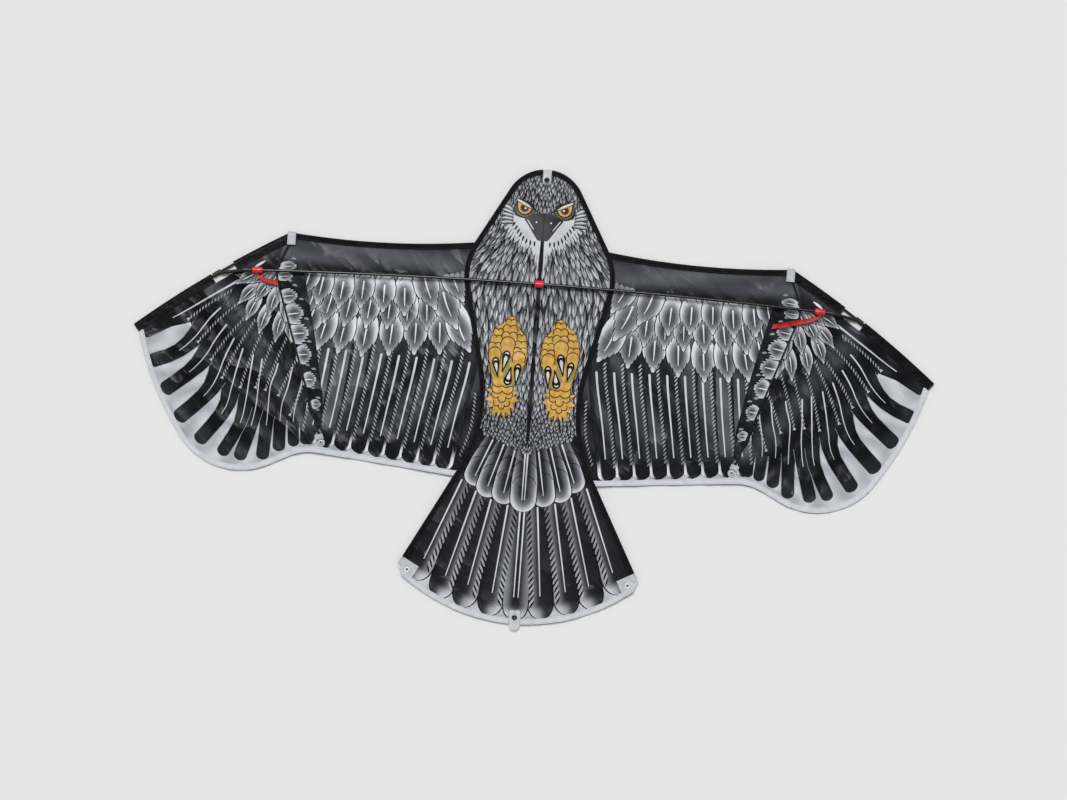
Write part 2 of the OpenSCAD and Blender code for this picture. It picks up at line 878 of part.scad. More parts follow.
spine();
spine_sleeve();
centre_connector();
head_tab();
head_eyelet();
tail_tab();
tail_eyelet();
left_side() body_sail();  // left_body_sail
body_sail();  // right_body_sail
left_side() wing_sail();  // left_wing_sail
wing_sail();  // right_wing_sail
left_side() body_binding();  // left_body_binding
body_binding();  // right_body_binding
left_side() body_edge_rod();  // left_body_edge_rod
body_edge_rod();  // right_body_edge_rod
left_side() leading_edge_sleeve();  // left_leading_edge_sleeve
leading_edge_sleeve();  // right_leading_edge_sleeve
left_side() leading_edge_rod();  // left_leading_edge_rod
leading_edge_rod();  // right_leading_edge_rod
left_side() top_hem();  // left_top_hem
top_hem();  // right_top_hem
left_side() trailing_hem();  // left_trailing_hem
trailing_hem();  // right_trailing_hem
left_side() tail_hem();  // left_tail_hem
tail_hem();  // right_tail_hem
left_side() wing_strut();  // left_wing_strut
wing_strut();  // right_wing_strut
left_side() shoulder_tab();  // left_shoulder_tab
shoulder_tab();  // right_shoulder_tab
left_side() strut_tab();  // left_strut_tab
strut_tab();  // right_strut_tab
left_side() strut_eyelet();  // left_strut_eyelet
strut_eyelet();  // right_strut_eyelet
left_side() tail_corner_tab();  // left_tail_corner_tab
tail_corner_tab();  // right_tail_corner_tab
left_side() tail_corner_eyelet();  // left_tail_corner_eyelet
tail_corner_eyelet();  // right_tail_corner_eyelet
left_side() spar();  // left_spar
spar();  // right_spar
left_side() spar_end_fitting();  // left_spar_end_fitting
spar_end_fitting();  // right_spar_end_fitting
left_side() spar_stop();  // left_spar_stop
spar_stop();  // right_spar_stop
left_side() ribbon(left_ribbon_l);  // left_ribbon
ribbon(right_ribbon_l);  // right_ribbon
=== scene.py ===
"""Looks of the bird-of-prey scarer kite: printed sails, tapes, rods, pockets, eyelets and ribbons."""
import math

import bpy
import numpy as np
from mathutils import Matrix, Vector, bvhtree, kdtree
from mathutils.geometry import delaunay_2d_cdt


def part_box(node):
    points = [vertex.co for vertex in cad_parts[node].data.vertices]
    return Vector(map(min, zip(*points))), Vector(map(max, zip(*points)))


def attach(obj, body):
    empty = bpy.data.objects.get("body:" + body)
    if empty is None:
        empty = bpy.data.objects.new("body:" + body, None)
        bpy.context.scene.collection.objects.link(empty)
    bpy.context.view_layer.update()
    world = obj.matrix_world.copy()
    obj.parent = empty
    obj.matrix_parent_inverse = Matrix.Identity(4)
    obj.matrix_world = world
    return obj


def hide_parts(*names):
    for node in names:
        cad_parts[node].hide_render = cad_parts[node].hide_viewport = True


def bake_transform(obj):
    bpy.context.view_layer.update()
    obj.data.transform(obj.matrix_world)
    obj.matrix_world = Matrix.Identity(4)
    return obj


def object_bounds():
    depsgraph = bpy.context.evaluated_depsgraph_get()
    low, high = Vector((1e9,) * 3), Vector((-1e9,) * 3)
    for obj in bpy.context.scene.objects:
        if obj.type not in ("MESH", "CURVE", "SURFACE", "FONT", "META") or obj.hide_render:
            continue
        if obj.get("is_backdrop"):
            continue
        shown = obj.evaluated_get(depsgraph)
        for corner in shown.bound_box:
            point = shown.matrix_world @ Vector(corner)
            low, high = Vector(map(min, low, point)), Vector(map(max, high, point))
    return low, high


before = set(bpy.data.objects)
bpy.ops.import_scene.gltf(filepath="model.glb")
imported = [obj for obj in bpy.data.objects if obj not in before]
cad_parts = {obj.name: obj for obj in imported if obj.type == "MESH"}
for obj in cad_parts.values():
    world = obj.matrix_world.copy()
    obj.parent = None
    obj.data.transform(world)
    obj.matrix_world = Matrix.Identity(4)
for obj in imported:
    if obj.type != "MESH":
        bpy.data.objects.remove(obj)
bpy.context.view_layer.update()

bpy.ops.object.select_all(action="DESELECT")

# The print and the cloth are drawn in millimetres, in the plane of the kite
MM = 0.001
SIDES = {"right": 1, "left": -1}


# Colours and materials

# Stitches along the rims of tapes, in mm
STITCH_INSET = 1.5
STITCH_HALF_WIDTH = 0.28
STITCH_PITCH = 3.2
# Share of the pitch that is thread
STITCH_SHARE = 0.72


def linear(colour):
    """An sRGB hex colour as linear red, green and blue."""
    parts = [int(colour[k:k + 2], 16) / 255 for k in (1, 3, 5)]
    return np.array([c / 12.92 if c <= 0.04045 else ((c + 0.055) / 1.055) ** 2.4 for c in parts])


def rgba(colour):
    return (*linear(colour), 1.0)


def node(material, kind, sockets=None, **settings):
    """Adds a node with its settings. A socket gets a value, or a link from another node's socket."""
    made = material.node_tree.nodes.new(kind)
    for name, value in settings.items():
        setattr(made, name, value)
    for name, value in (sockets or {}).items():
        if isinstance(value, bpy.types.NodeSocket):
            material.node_tree.links.new(value, made.inputs[name])
        else:
            made.inputs[name].default_value = value
    return made


def new_material(name):
    material = bpy.data.materials.new(name)
    material.use_nodes = True
    material.node_tree.nodes.clear()
    return material


def surfaced(material, sockets):
    """The material, ended in one principled shader."""
    shader = node(material, "ShaderNodeBsdfPrincipled", sockets)
    node(material, "ShaderNodeOutputMaterial", {"Surface": shader.outputs[0]})
    return material


def object_place(material):
    return node(material, "ShaderNodeTexCoord").outputs["Object"]


def reckoned(material, operation, *values):
    """The result of one step of arithmetic on values or sockets."""
    return node(material, "ShaderNodeMath", dict(enumerate(values)), operation=operation).outputs[0]


def noise(material, size_mm, detail):
    """Random soft patches of the given size."""
    return node(material, "ShaderNodeTexNoise", {
        "Vector": object_place(material), "Scale": 1 / (size_mm * MM), "Detail": detail}).outputs["Fac"]


def bump(material, height, strength, depth_mm, under=None):
    """Bump of the given depth, on top of a rougher bump if there is one."""
    sockets = {"Height": height, "Strength": strength, "Distance": depth_mm * MM}
    if under:
        sockets["Normal"] = under
    return node(material, "ShaderNodeBump", sockets).outputs["Normal"]


def creases(material, apart_mm, depth_mm):
    """Bump of small creases in tight cloth, which slant across the span.
    They are three times as long as they are apart."""
    slant = node(material, "ShaderNodeMapping", {
        "Vector": object_place(material), "Rotation": (0, 0, math.radians(40)), "Scale": (1, 3, 1)},
        vector_type="TEXTURE")
    ridges = node(material, "ShaderNodeTexNoise", {
        "Vector": slant.outputs["Vector"], "Scale": 1 / (apart_mm * MM), "Detail": 1.0, "Offset": 1.0},
        noise_type="RIDGED_MULTIFRACTAL")
    return bump(material, ridges.outputs["Fac"], 1.0, depth_mm)


def threads(material, period_mm, strength, under=None):
    """Bump of a plain weave: crossed bands of thread that repeat every period_mm."""
    scale = 2 * math.pi / (20 * period_mm * MM)
    bands = [
        node(material, "ShaderNodeTexWave", {"Vector": object_place(material), "Scale": scale},
             bands_direction=axis).outputs["Fac"]
        for axis in ("X", "Y")
    ]
    return bump(material, reckoned(material, "ADD", *bands), strength, 0.1, under)


def patchy(material, size_mm, low, high):
    """Soft patches of the given size, as a value from low to high."""
    return node(material, "ShaderNodeMapRange", {
        "Value": noise(material, size_mm, 3.0), "From Min": 0.3, "From Max": 0.7,
        "To Min": low, "To Max": high}).outputs["Result"]


def mixed(material, factor, first, second):
    """A colour between two hex colours, or between a socket's colour and a hex colour."""
    ends = [c if isinstance(c, bpy.types.NodeSocket) else rgba(c) for c in (first, second)]
    return node(material, "ShaderNodeMix", {0: factor, 6: ends[0], 7: ends[1]}, data_type="RGBA").outputs[2]


def dappled(material, size_mm, first, second):
    """Two hex colours that melt into each other in patches of the given size."""
    return mixed(material, patchy(material, size_mm, 0.0, 1.0), first, second)


def stitches(material):
    """Where a row of stitches runs along the rim of a tape."""
    rim, run = [
        node(material, "ShaderNodeAttribute", attribute_name=name).outputs["Fac"] for name in ("rim", "run")]
    near = reckoned(material, "COMPARE", rim, STITCH_INSET, STITCH_HALF_WIDTH)
    part = reckoned(material, "FRACT", reckoned(material, "MULTIPLY", run, 1 / STITCH_PITCH))
    thread = reckoned(material, "LESS_THAN", part, STITCH_SHARE)
    return reckoned(material, "MULTIPLY", near, thread)


def printed_taffeta(name, paleness):
    """Polyester taffeta with a dyed print: smooth, fine crossed threads, a soft silky gloss, small creases.
    The threads are 0.2 mm apart, too fine to show, so they are drawn 1.1 mm apart.
    The back of the cloth shows the same print, paler. The print's colours hold painted sheen and shade in
    places."""
    material = new_material(name)
    # The print, with its painted sheen and shade, comes from the mesh's colours.
    print_and_painted_sheen = node(material, "ShaderNodeAttribute", attribute_name="print").outputs["Color"]
    if paleness:
        print_and_painted_sheen = mixed(material, paleness, print_and_painted_sheen, "#8e8f96")
    tone = patchy(material, 45, 0.86, 1.10)
    shade = node(material, "ShaderNodeVectorMath", {0: print_and_painted_sheen, "Scale": tone}, operation="SCALE")
    return surfaced(material, {
        "Base Color": shade.outputs["Vector"],
        "Roughness": patchy(material, 30, 0.24, 0.36),
        "Specular IOR Level": 0.14,
        "Normal": threads(material, 1.1, 0.06, creases(material, 34, 2.6)),
    })


def woven_tape(name, colour, light, thread, roughness, gloss):
    """Woven polyester tape: ribbed threads, drawn 1.3 mm apart, uneven dye, stitched along its rims."""
    material = new_material(name)
    return surfaced(material, {
        "Base Color": mixed(material, stitches(material), dappled(material, 9, colour, light), thread),
        "Roughness": roughness,
        "Specular IOR Level": gloss,
        "Normal": threads(material, 1.3, 0.25),
    })


def crinkled_taffeta(name, colour, light, thread):
    """Black taffeta drawn tight over a rod: soft creases about 12 mm apart, stitched along its rims."""
    material = new_material(name)
    return surfaced(material, {
        "Base Color": mixed(material, stitches(material), dappled(material, 9, colour, light), thread),
        "Roughness": 0.36,
        "Specular IOR Level": 0.08,
        "Normal": bump(material, noise(material, 12, 2.0), 0.45, 2.0),
    })


def pultruded_rod():
    """Black pultruded glass fibre: glossy resin skin with faint unevenness."""
    material = new_material("pultruded_glass_fibre")
    return surfaced(material, {
        "Base Color": rgba("#050506"), "Roughness": patchy(material, 60, 0.20, 0.27), "IOR": 1.5})


def moulded_black():
    """Injection moulded black nylon: satin, with a grain of 0.6 mm."""
    material = new_material("moulded_black_nylon")
    return surfaced(material, {
        "Base Color": rgba("#121214"), "Roughness": 0.42,
        "Normal": bump(material, noise(material, 0.6, 2.0), 0.15, 0.1)})


def red_vinyl():
    """Soft red vinyl tube: satin skin, colour slightly deeper in patches of 5 mm."""
    material = new_material("red_soft_vinyl")
    return surfaced(material, {
        "Base Color": dappled(material, 5, "#dd2c42", "#c01a2c"), "Roughness": 0.36,
        "Subsurface Weight": 0.15, "Subsurface Radius": (1.0 * MM, 0.3 * MM, 0.2 * MM)})


def satin_ribbon():
    """Red satin ribbon: a close shiny weave, ribs drawn 0.9 mm apart."""
    material = new_material("red_satin_ribbon")
    return surfaced(material, {
        "Base Color": dappled(material, 8, "#c9241c", "#8c100d"), "Roughness": 0.5,
        "Specular IOR Level": 0.25, "Normal": threads(material, 0.9, 0.2)})


def clear_vinyl():
    """Clear soft vinyl pocket: milky in patches of 6 mm, glossy, half see-through."""
    material = new_material("clear_soft_vinyl")
    return surfaced(material, {
        "Base Color": dappled(material, 6, "#cfd4da", "#eceff2"),
        "Roughness": 0.2, "IOR": 1.5, "Alpha": 0.55})


def lacquered_brass(name, colour, wear):
    """Pressed eyelet with a lacquer that is worn to the metal in spots of about 2.5 mm."""
    material = new_material(name)
    return surfaced(material, {
        "Base Color": mixed(material, patchy(material, 2.5, -1.2, 0.6), colour, wear),
        "Roughness": 0.32, "Coat Weight": 0.3})


def paper_floor():
    """A plain pale paper floor."""
    return surfaced(new_material("pale_paper_floor"), {
        "Base Color": rgba("#e6e6e6"), "Roughness": 0.9, "Specular IOR Level": 0.1})


CLOTH = printed_taffeta("printed_taffeta_face", 0.0)
CLOTH_BACK = printed_taffeta("printed_taffeta_back", 0.22)
BLACK_TAPE = woven_tape("black_woven_tape", "#060607", "#101012", "#242427", 0.6, 0.07)
WHITE_TAPE = woven_tape("white_woven_tape", "#d2d5da", "#c5c8ce", "#a9adb4", 0.7, 0.25)
SLEEVE_TAPE = crinkled_taffeta("black_sleeve_taffeta", "#050506", "#0d0d0f", "#242427")
POCKET_TAPE = woven_tape("pale_pocket_tape", "#c3c7cc", "#afb3ba", "#8d9198", 0.5, 0.25)
ROD = pultruded_rod()
NYLON = moulded_black()
VINYL = red_vinyl()
SATIN = satin_ribbon()
CLEAR = clear_vinyl()
WHITE_EYE = lacquered_brass("white_lacquered_eyelet", "#e2e2e4", "#b9b7b0")
DARK_EYE = lacquered_brass("black_lacquered_eyelet", "#1a1a1d", "#5d5a52")


# Lines and outlines in the plane

def bend(points, count=21):
    """A smooth line through a few points."""
    p = np.array(points, float)
    p = np.vstack([2 * p[0] - p[1], p, 2 * p[-1] - p[-2]])
    t = np.linspace(0, len(points) - 1 - 1e-9, count)
    k = t.astype(int)
    f = (t - k)[:, None]
    a, b, c, d = p[k], p[k + 1], p[k + 2], p[k + 3]
    return b + 0.5 * f * (c - a + f * (2 * a - 5 * b + 4 * c - d + f * (3 * b - a - 3 * c + d)))


def run_lengths(line):
    return np.concatenate([[0], np.cumsum(np.linalg.norm(np.diff(line, axis=0), axis=1))])


def along(line, s):
    """Points of a line at the distances s, and the directions of the line there."""
    total = run_lengths(line)
    place = lambda at: np.stack([np.interp(at, total, line[:, k]) for k in (0, 1)], axis=1)
    near = 0.4
    run = place(np.minimum(s + near, total[-1])) - place(np.maximum(s - near, 0))
    return place(s), run / np.linalg.norm(run, axis=1)[:, None]


def left_of(run):
    return np.stack([-run[..., 1], run[..., 0]], axis=-1)


def local(line, points):
    """How far along a line each point lies, from 0 to 1, and how far to its left, in mm."""
    total = run_lengths(line)
    start, step = line[:-1], np.diff(line, axis=0)
    rel = points[:, None, :] - start[None]
    t = np.clip((rel * step).sum(2) / (step ** 2).sum(1), 0, 1)
    off = rel - t[..., None] * step
    nearest = (off ** 2).sum(2).argmin(1)
    pick = np.arange(len(points))
    share = total[nearest] + t[pick, nearest] * np.linalg.norm(step[nearest], axis=1)
    turn = (left_of(step[nearest]) * rel[pick, nearest]).sum(1)
    return share / total[-1], np.sign(turn) * np.linalg.norm(off[pick, nearest], axis=1)


def straight(start, end, bow=(0, 0)):
    """A line of three points, with its middle moved by bow."""
    start, end = np.array(start, float), np.array(end, float)
    return np.array([start, (start + end) / 2 + np.array(bow), end])


def middle_line(base, tip, sag=0.0):
    """The middle line of a feather, bowed to its left by a share of its length."""
    base, tip = np.array(base, float), np.array(tip, float)
    return bend(straight(base, tip, sag * left_of(tip - base)), 13)


# Shapes of feathers from base to tip: share of the length, share of half the width
LOBED = [(0.0, 0.55), (0.18, 0.86), (0.36, 1.0), (0.52, 0.98), (0.62, 0.90), (0.69, 0.78), (0.655, 0.70),
         (0.74, 0.62), (0.80, 0.51), (0.77, 0.44), (0.85, 0.37), (0.885, 0.29), (0.86, 0.23),
         (0.93, 0.19), (0.975, 0.12), (1.0, 0.0)]
POINTED = [(0.0, 0.3), (0.2, 0.72), (0.45, 1.0), (0.65, 0.94), (0.82, 0.62), (0.93, 0.28), (1.0, 0.0)]
SPEAR = [(0.0, 0.3), (0.25, 0.8), (0.54, 1.0), (0.82, 0.66), (1.0, 0.0)]
SLIM = [(0.0, 0.3), (0.42, 1.0), (0.8, 0.66), (1.0, 0.0)]
SLIVER = [(0.0, 0.35), (0.48, 1.0), (1.0, 0.0)]
FAN = [(0.0, 0.62), (0.2, 0.92), (0.42, 1.02), (0.64, 1.04), (0.57, 0.84), (0.82, 0.80), (0.70, 0.60),
       (0.93, 0.52), (0.82, 0.36), (1.0, 0.24), (0.96, 0.08), (1.0, 0.0)]
DROP = [(0.0, 0.05), (0.3, 0.40), (0.55, 0.78), (0.74, 1.0), (0.87, 0.86), (0.96, 0.5), (1.0, 0.0)]


def round_end(start):
    """The end of a feather's shape from the share start onwards: a quarter turn."""
    turn = np.linspace(0, math.pi / 2, 8)[:-1]
    return [(start + (1 - start) * math.sin(a), math.cos(a)) for a in turn] + [(1.0, 0.0)]


def rounded(length, radius, base_share):
    """Shape of a feather with a round end: narrower at its base."""
    start = 1 - min(radius, 0.8 * length) / length
    sides = [(s, base_share + (1 - base_share) * min(1, s / 0.55)) for s in np.linspace(0, start, 8)[:-1]]
    return sides + round_end(start)


def quill_shape(length):
    """Shape of a flight feather: wide where it lies under its neighbours, narrow past them, round end."""
    sides = [(0.0, 1.9), (0.3, 1.8), (0.46, 1.58), (0.56, 1.34), (0.65, 1.14), (0.74, 1.03), (0.84, 1.0)]
    return sides + round_end(1 - 7 / length)


def leaf(line, width, profile, grow=0.0):
    """Outline of a shape round a line, grown on all sides but its base."""
    share, across = np.array(profile).T
    points, run = along(line, share * run_lengths(line)[-1])
    points[-1] += run[-1] * grow
    half = (np.where(across > 0, across * width / 2 + grow, 0))[:, None]
    right, left = points - left_of(run) * half, points + left_of(run) * half
    return np.concatenate([right, left[:-1][::-1]])


def stroke(start, end, width, taper):
    """A thin stroke from start to end, narrower at its end."""
    start, end = np.array(start, float), np.array(end, float)
    side = left_of((end - start) / np.linalg.norm(end - start)) * width / 2
    return np.array([start - side, end - side * taper, end + side * taper, start + side])


def trail(line, from_share, to_share, width, taper=0.4):
    """A stroke with a pointed start that follows a line and narrows along it."""
    count = 9
    points, run = along(line, np.linspace(from_share, to_share, count) * run_lengths(line)[-1])
    half = np.linspace(width / 2, taper * width / 2, count)[:, None]
    start = points[0] - run[0] * width / 2
    return np.concatenate([[start], points - left_of(run) * half, (points + left_of(run) * half)[::-1]])


def disc(centre, radius, count):
    a = np.linspace(0, 2 * math.pi, count, endpoint=False)
    return np.array(centre, float) + radius * np.stack([np.cos(a), np.sin(a)], axis=1)


def smooth(t):
    t = np.clip(t, 0, 1)
    return t * t * (3 - 2 * t)


def ramp(t, *stops):
    """Colours between stops of (place, hex colour)."""
    places = [p for p, _ in stops]
    colours = np.array([linear(c) for _, c in stops])
    return np.stack([np.interp(t, places, colours[:, k]) for k in range(3)], axis=1)


def draw(shapes, outline, shade):
    """Lays an outline on a print, in a hex colour, a linear colour or a function that colours points."""
    colour = linear(shade) if isinstance(shade, str) else shade
    if not callable(colour):
        shade = lambda points: np.tile(colour, (len(points), 1))
    shapes.append((np.array(outline, float), shade))


# Feathers of the print

INK = "#08080a"
SHAFT = "#e2e3e8"


def covert(shapes, base, tip, width, core="#46484e", edge="#dfe2e6", sag=0.0, shaft_from=0.30,
           profile=LOBED):
    """A covert feather: ink line, light lobed rim, dark heart and a white shaft."""
    line = middle_line(base, tip, sag)

    def vane(points):
        u, v = local(line, points)
        r = np.hypot(v / (0.38 * width), (u - 0.54) / 0.36)
        return ramp(r, (0.0, core), (0.45, core), (0.85, "#84868c"), (1.25, edge))

    draw(shapes, leaf(line, width, profile, 1.3), INK)
    for part, share, shape in ((line, 1, profile), (line[:11], 0.62, POINTED), (line[2:10], 0.30, POINTED)):
        draw(shapes, leaf(part, share * width, shape), vane)
    draw(shapes, trail(line, shaft_from, 0.74, 0.06 * width + 0.5), SHAFT)


def rope(shapes, line, from_share, to_share, pitch, reach, width, colours, turn=-42):
    """A row of short slanted strokes along a line, like the lay of a rope. Gives its end and direction."""
    length = run_lengths(line)[-1]
    points, run = along(line, np.arange(from_share * length, to_share * length, pitch))
    c, d = math.cos(math.radians(turn)), math.sin(math.radians(turn))
    tones = ramp(np.arange(len(points)) / max(1, len(points) - 1), (0, colours[0]), (1, colours[1]))
    for p, r, tone in zip(points, run, tones):
        slant = reach / 2 * np.array([c * r[0] - d * r[1], d * r[0] + c * r[1]])
        draw(shapes, leaf(np.array([p - slant, p, p + slant]), width, SLIM), tone)
    return points[-1], run[-1]


def body_feather(shapes, tip, heading, length, width, tones, side_sign):
    """A small body feather: ink line, grey leaf lighter towards its tip, a light streak along each side."""
    fill, light, streak = tones
    run = np.array([math.sin(heading), -math.cos(heading)])
    base = tip - run * length
    side = left_of(run)
    line = straight(base, tip, side * (0.12 * width * side_sign))

    def vane(points):
        u = ((points - base) @ run) / length
        return ramp(u, (0.45, fill), (0.8, light))

    draw(shapes, leaf(line, width, SPEAR, 1.1), INK)
    draw(shapes, leaf(line, width, SPEAR), vane)
    for share, from_share, tone in ((0.28, 0.45, streak), (-0.22, 0.30, light)):
        offset = side * share * width * side_sign
        start, end = base + run * from_share * length + offset, tip - run * 0.10 * length + offset * 0.35
        draw(shapes, leaf(straight(start, end, offset * 0.12), 0.22 * width, SLIVER), tone)


# Wing print

COVERT_ROWS = [
    # tips from the body outwards, width of the feathers, their length
    ([(129, 52), (164, 49), (199, 45), (236, 41), (269, 43), (297, 46), (318, 58)], 33, 62),
    ([(149, 83), (177, 81), (204, 81), (233, 80), (263, 80), (291, 83), (316, 92)], 29, 56),
    ([(181, 101), (211, 104), (242, 107), (272, 104), (302, 108), (322, 118)], 31, 54),
]
BODY_SIDE_COVERTS = [
    # tip, base and width of the larger feathers beside the body, lowest first
    ((87, 58), (114, 122), 35),
    ((107, 88), (136, 160), 37),
    ((101, 126), (126, 186), 34),
    ((138, 112), (162, 178), 35),
]
SHELLS = [
    # tip, base and width of the silvery feathers along the strut, lowest first
    ((286, -28), (300, -28), 13),
    ((295, 6), (313, 4), 21),
    ((304, 40), (325, 37), 26),
    ((310, 69), (336, 65), 29),
    ((319, 96), (345, 91), 28),
    ((329, 119), (353, 115), 20),
    ((337, 145), (359, 142), 12),
    ((333, 159), (355, 156), 14),
]
SECONDARIES = 9
PRIMARIES = [
    # lines of the flight feathers at the tip of the wing, and their widths, outermost first
    ([(385, 150), (402, 139), (448, 108), (491, 79), (538, 52)], 20),
    ([(400, 124), (441, 85), (465, 51), (490, 28), (525, 13)], 18.5),
    ([(396, 108), (432, 58), (448, 28), (467, 5), (504, -26)], 20),
    ([(391, 98), (420, 33), (430, 1), (444, -25), (482, -63)], 20.5),
    ([(386, 90), (403, 20), (410, -14), (418, -46), (451, -92)], 19),
    ([(379, 84), (386, 5), (389, -30), (395, -63), (418, -107)], 16.5),
    ([(367, 78), (373, 0), (374, -30), (379, -63), (393, -112)], 17),
    ([(342, 70), (350, 16), (357, -8), (358, -50), (361, -109)], 17),
    ([(324, 60), (328, 28), (333, -8), (340, -38), (339, -96)], 16.5),
    ([(312, 40), (314, 2), (319, -22), (322, -50), (319, -88)], 15),
    ([(303, 0), (304, -20), (305, -45), (304, -84)], 13),
]
GAPS = [(472, 71), (460, 37), (439, 9), (417, -19), (397, -31), (381, -46), (366, -47), (348, -56),
        (330, -60), (312, -62)]
PRIMARY_ROPES = [
    [(420, 118), (450, 97), (478, 73)],
    [(410, 101), (437, 74), (462, 43)],
    [(398, 84), (421, 54), (442, 20)],
    [(385, 80), (406, 40), (424, -2)],
    [(374, 64), (387, 28), (398, -13)],
    [(357, 56), (368, 22), (378, -15)],
    [(340, 58), (353, 22), (364, -16)],
    [(322, 36), (334, 8), (346, -22)],
    [(309, 12), (317, -18), (328, -48)],
]
WRIST_FEATHERS = [
    # tip and base of the small feathers at the bend of the wing, lowest first
    ((333, 53), (336, 96)), ((355, 52), (346, 98)), ((378, 62), (366, 104)), ((397, 79), (380, 116)),
    ((409, 101), (381, 132)), ((414, 128), (380, 148)), ((343, 80), (342, 122)), ((366, 88), (356, 128)),
    ((386, 106), (364, 140)), ((394, 130), (364, 152)), ((352, 108), (346, 146)), ((372, 122), (350, 154)),
]


def painted_fold_sheen(points):
    """Painted sheen on the dark cloth of the inner wing: slanting lighter and darker bands where its folds
    would catch the light.
    """
    x, y = points[:, 0], points[:, 1]
    q = 0.86 * x + 0.51 * y
    glow = 0.8 * np.exp(-((q - 232) / 34) ** 2) + 0.4 * np.exp(-((q - 128) / 15) ** 2)
    glow += 0.3 * np.exp(-((q - 80) / 14) ** 2) + 0.1 * np.sin(0.19 * q + 0.03 * y)
    return np.clip(glow * smooth((y + 72) / 30), 0, 1)


def dark_cloth_painted_sheen(points):
    # The dark cloth of the inner wing, with painted sheen in slanting bands.
    return ramp(painted_fold_sheen(points), (0, "#15161a"), (1, "#62656d"))


def primary_cloth_painted_sheen(points):
    """Black flight feathers with a band of painted sheen in grey that runs beside the strut."""
    x, y = points[:, 0], points[:, 1]
    w = 0.802 * (x - 420) - 0.597 * (y - 100)
    glow = 0.75 * np.exp(-((w - 1) / 13) ** 2) + 0.2 * np.exp(-((w - 62) / 12) ** 2)
    glow *= smooth((x - 296) / 20) * (0.75 + 0.25 * np.sin(0.21 * x + 0.26 * y))
    return ramp(np.clip(glow, 0, 1), (0, "#0c0d10"), (1, "#4d5059"))


def white_cloth_painted_shade(points):
    """Unprinted cloth with soft grey bands of painted shade where it waves."""
    x, y = points[:, 0], points[:, 1]
    wave = 0.5 + 0.5 * np.sin(0.10 * x + 0.16 * y + 1.6 * np.sin(0.045 * x - 0.07 * y))
    return ramp(wave, (0, "#a9acb3"), (1, "#c6c9ce"))


def wing_grounds(shapes):
    """Cloth under the feathers: dark fields with painted sheen, and a light one under the upper coverts."""
    inner = [(40, 215), (40, -104), (104, -104), (200, -72), (305, -62), (368, 150), (345, 215)]
    outer = [(345, 215), (330, 60), (298, -62), *GAPS[::-1], (537, 51), (545, 62)]
    draw(shapes, inner, dark_cloth_painted_sheen)
    draw(shapes, outer, primary_cloth_painted_sheen)
    draw(shapes, [(100, 118), (322, 128), (330, 156), (100, 162)], "#a9abb1")


def secondaries(shapes):
    """Dark flight feathers of the inner wing with painted sheen, light tips, and ropes of strokes beside
    them.
    """
    for k in reversed(range(SECONDARIES)):
        top = 88 + 24.3 * k
        lean = 24 - k
        tip = (top + lean + 1, -104 + 2.6 * k)
        line = bend([(top - 5, 84), (top + 1, 30), (top + 0.55 * lean, -32), tip])
        shape = rounded(run_lengths(line)[-1], 10, 0.75)

        def lit_edge(points, line=line):
            u, v = local(line, points)
            near_tip = smooth((u - 0.86) / 0.06)
            return ramp(near_tip * smooth((-v - 4) / 5), (0, "#1d1e21"), (1, "#e6e7ec"))

        draw(shapes, leaf(line, 24, shape, 0.9), INK)
        draw(shapes, leaf(line, 24, shape), lit_edge)
        draw(shapes, leaf(line + np.array([2.2, 1.6]), 19.5, shape), dark_cloth_painted_sheen)
        draw(shapes, trail(line, 0.21, 0.84, 3.1, 0.45), "#cdcfd5")
        rope(shapes, line + np.array([11.5, 2.0]), 0.16, 0.90, 5.4, 7.0, 2.2, ("#b2b5bb", "#85878e"))
    waist = bend([(76, 2), (76.5, -20), (78.5, -42), (83.5, -62), (91, -84)])
    rope(shapes, waist, 0.0, 1.0, 5.4, 6.0, 2.0, ("#9b9ea4", "#85878e"))


def wing_coverts(shapes):
    for tips, width, length in COVERT_ROWS:
        for k, (x, y) in enumerate(tips):
            lean = -0.06 + 0.06 * k
            covert(shapes, (x - lean * length, y + length), (x, y), width)
    for tip, base, width in BODY_SIDE_COVERTS:
        covert(shapes, base, tip, width, core="#5a5b60", sag=0.05)
    for k in range(11):
        x = 172 + 14.5 * k
        draw(shapes, stroke((x, 153.5 - 0.012 * k), (x + 5, 147.5), 1.6, 0.3), "#3a3b40")


def plain_band(shapes):
    """The plain dark cloth above the spar, with a band of painted sheen in streaks."""

    def sheen(points):
        # Painted sheen: lighter streaks in a band above the spar.
        fade = smooth((points[:, 1] - 158) / 16) * (1 - smooth((points[:, 1] - 188) / 14))
        streak = 0.5 + 0.5 * np.sin(0.03 * points[:, 0] - 0.16 * points[:, 1])
        return ramp(fade * (0.55 + 0.45 * streak), (0, "#1a1a1d"), (1, "#575960"))

    draw(shapes, [(40, 158), (150, 157), (250, 154.5), (362, 150), (348, 220), (40, 220)], sheen)
    for k in range(4):
        base = np.array([104.0 + 9 * k, 157.0 - 0.2 * k])
        tip = base + np.array([2.0 - 3 * k, 12.0 - 2.0 * k])
        draw(shapes, leaf(straight(base, tip), 7, POINTED), "#8b8d93")


def silver_shells(shapes):
    """Silvery lobed feathers along the inner side of the strut, on a dark strip."""
    draw(shapes, [(322, 152), (300, 60), (284, -20), (282, -62), (300, -42), (362, 152)], "#17181c")
    for tip, base, width in SHELLS:
        for step in (-0.62, 0.62):
            mark = np.array(tip, float) + step * np.array([0.0, width]) + np.array([1.0, 0])
            draw(shapes, leaf(np.array([mark + (7, 1), mark + (3, 1), mark]), 3.0, POINTED), "#8f949c")
        covert(shapes, base, tip, width, core="#474b53", edge="#c9cdd3", shaft_from=0.15, profile=FAN)


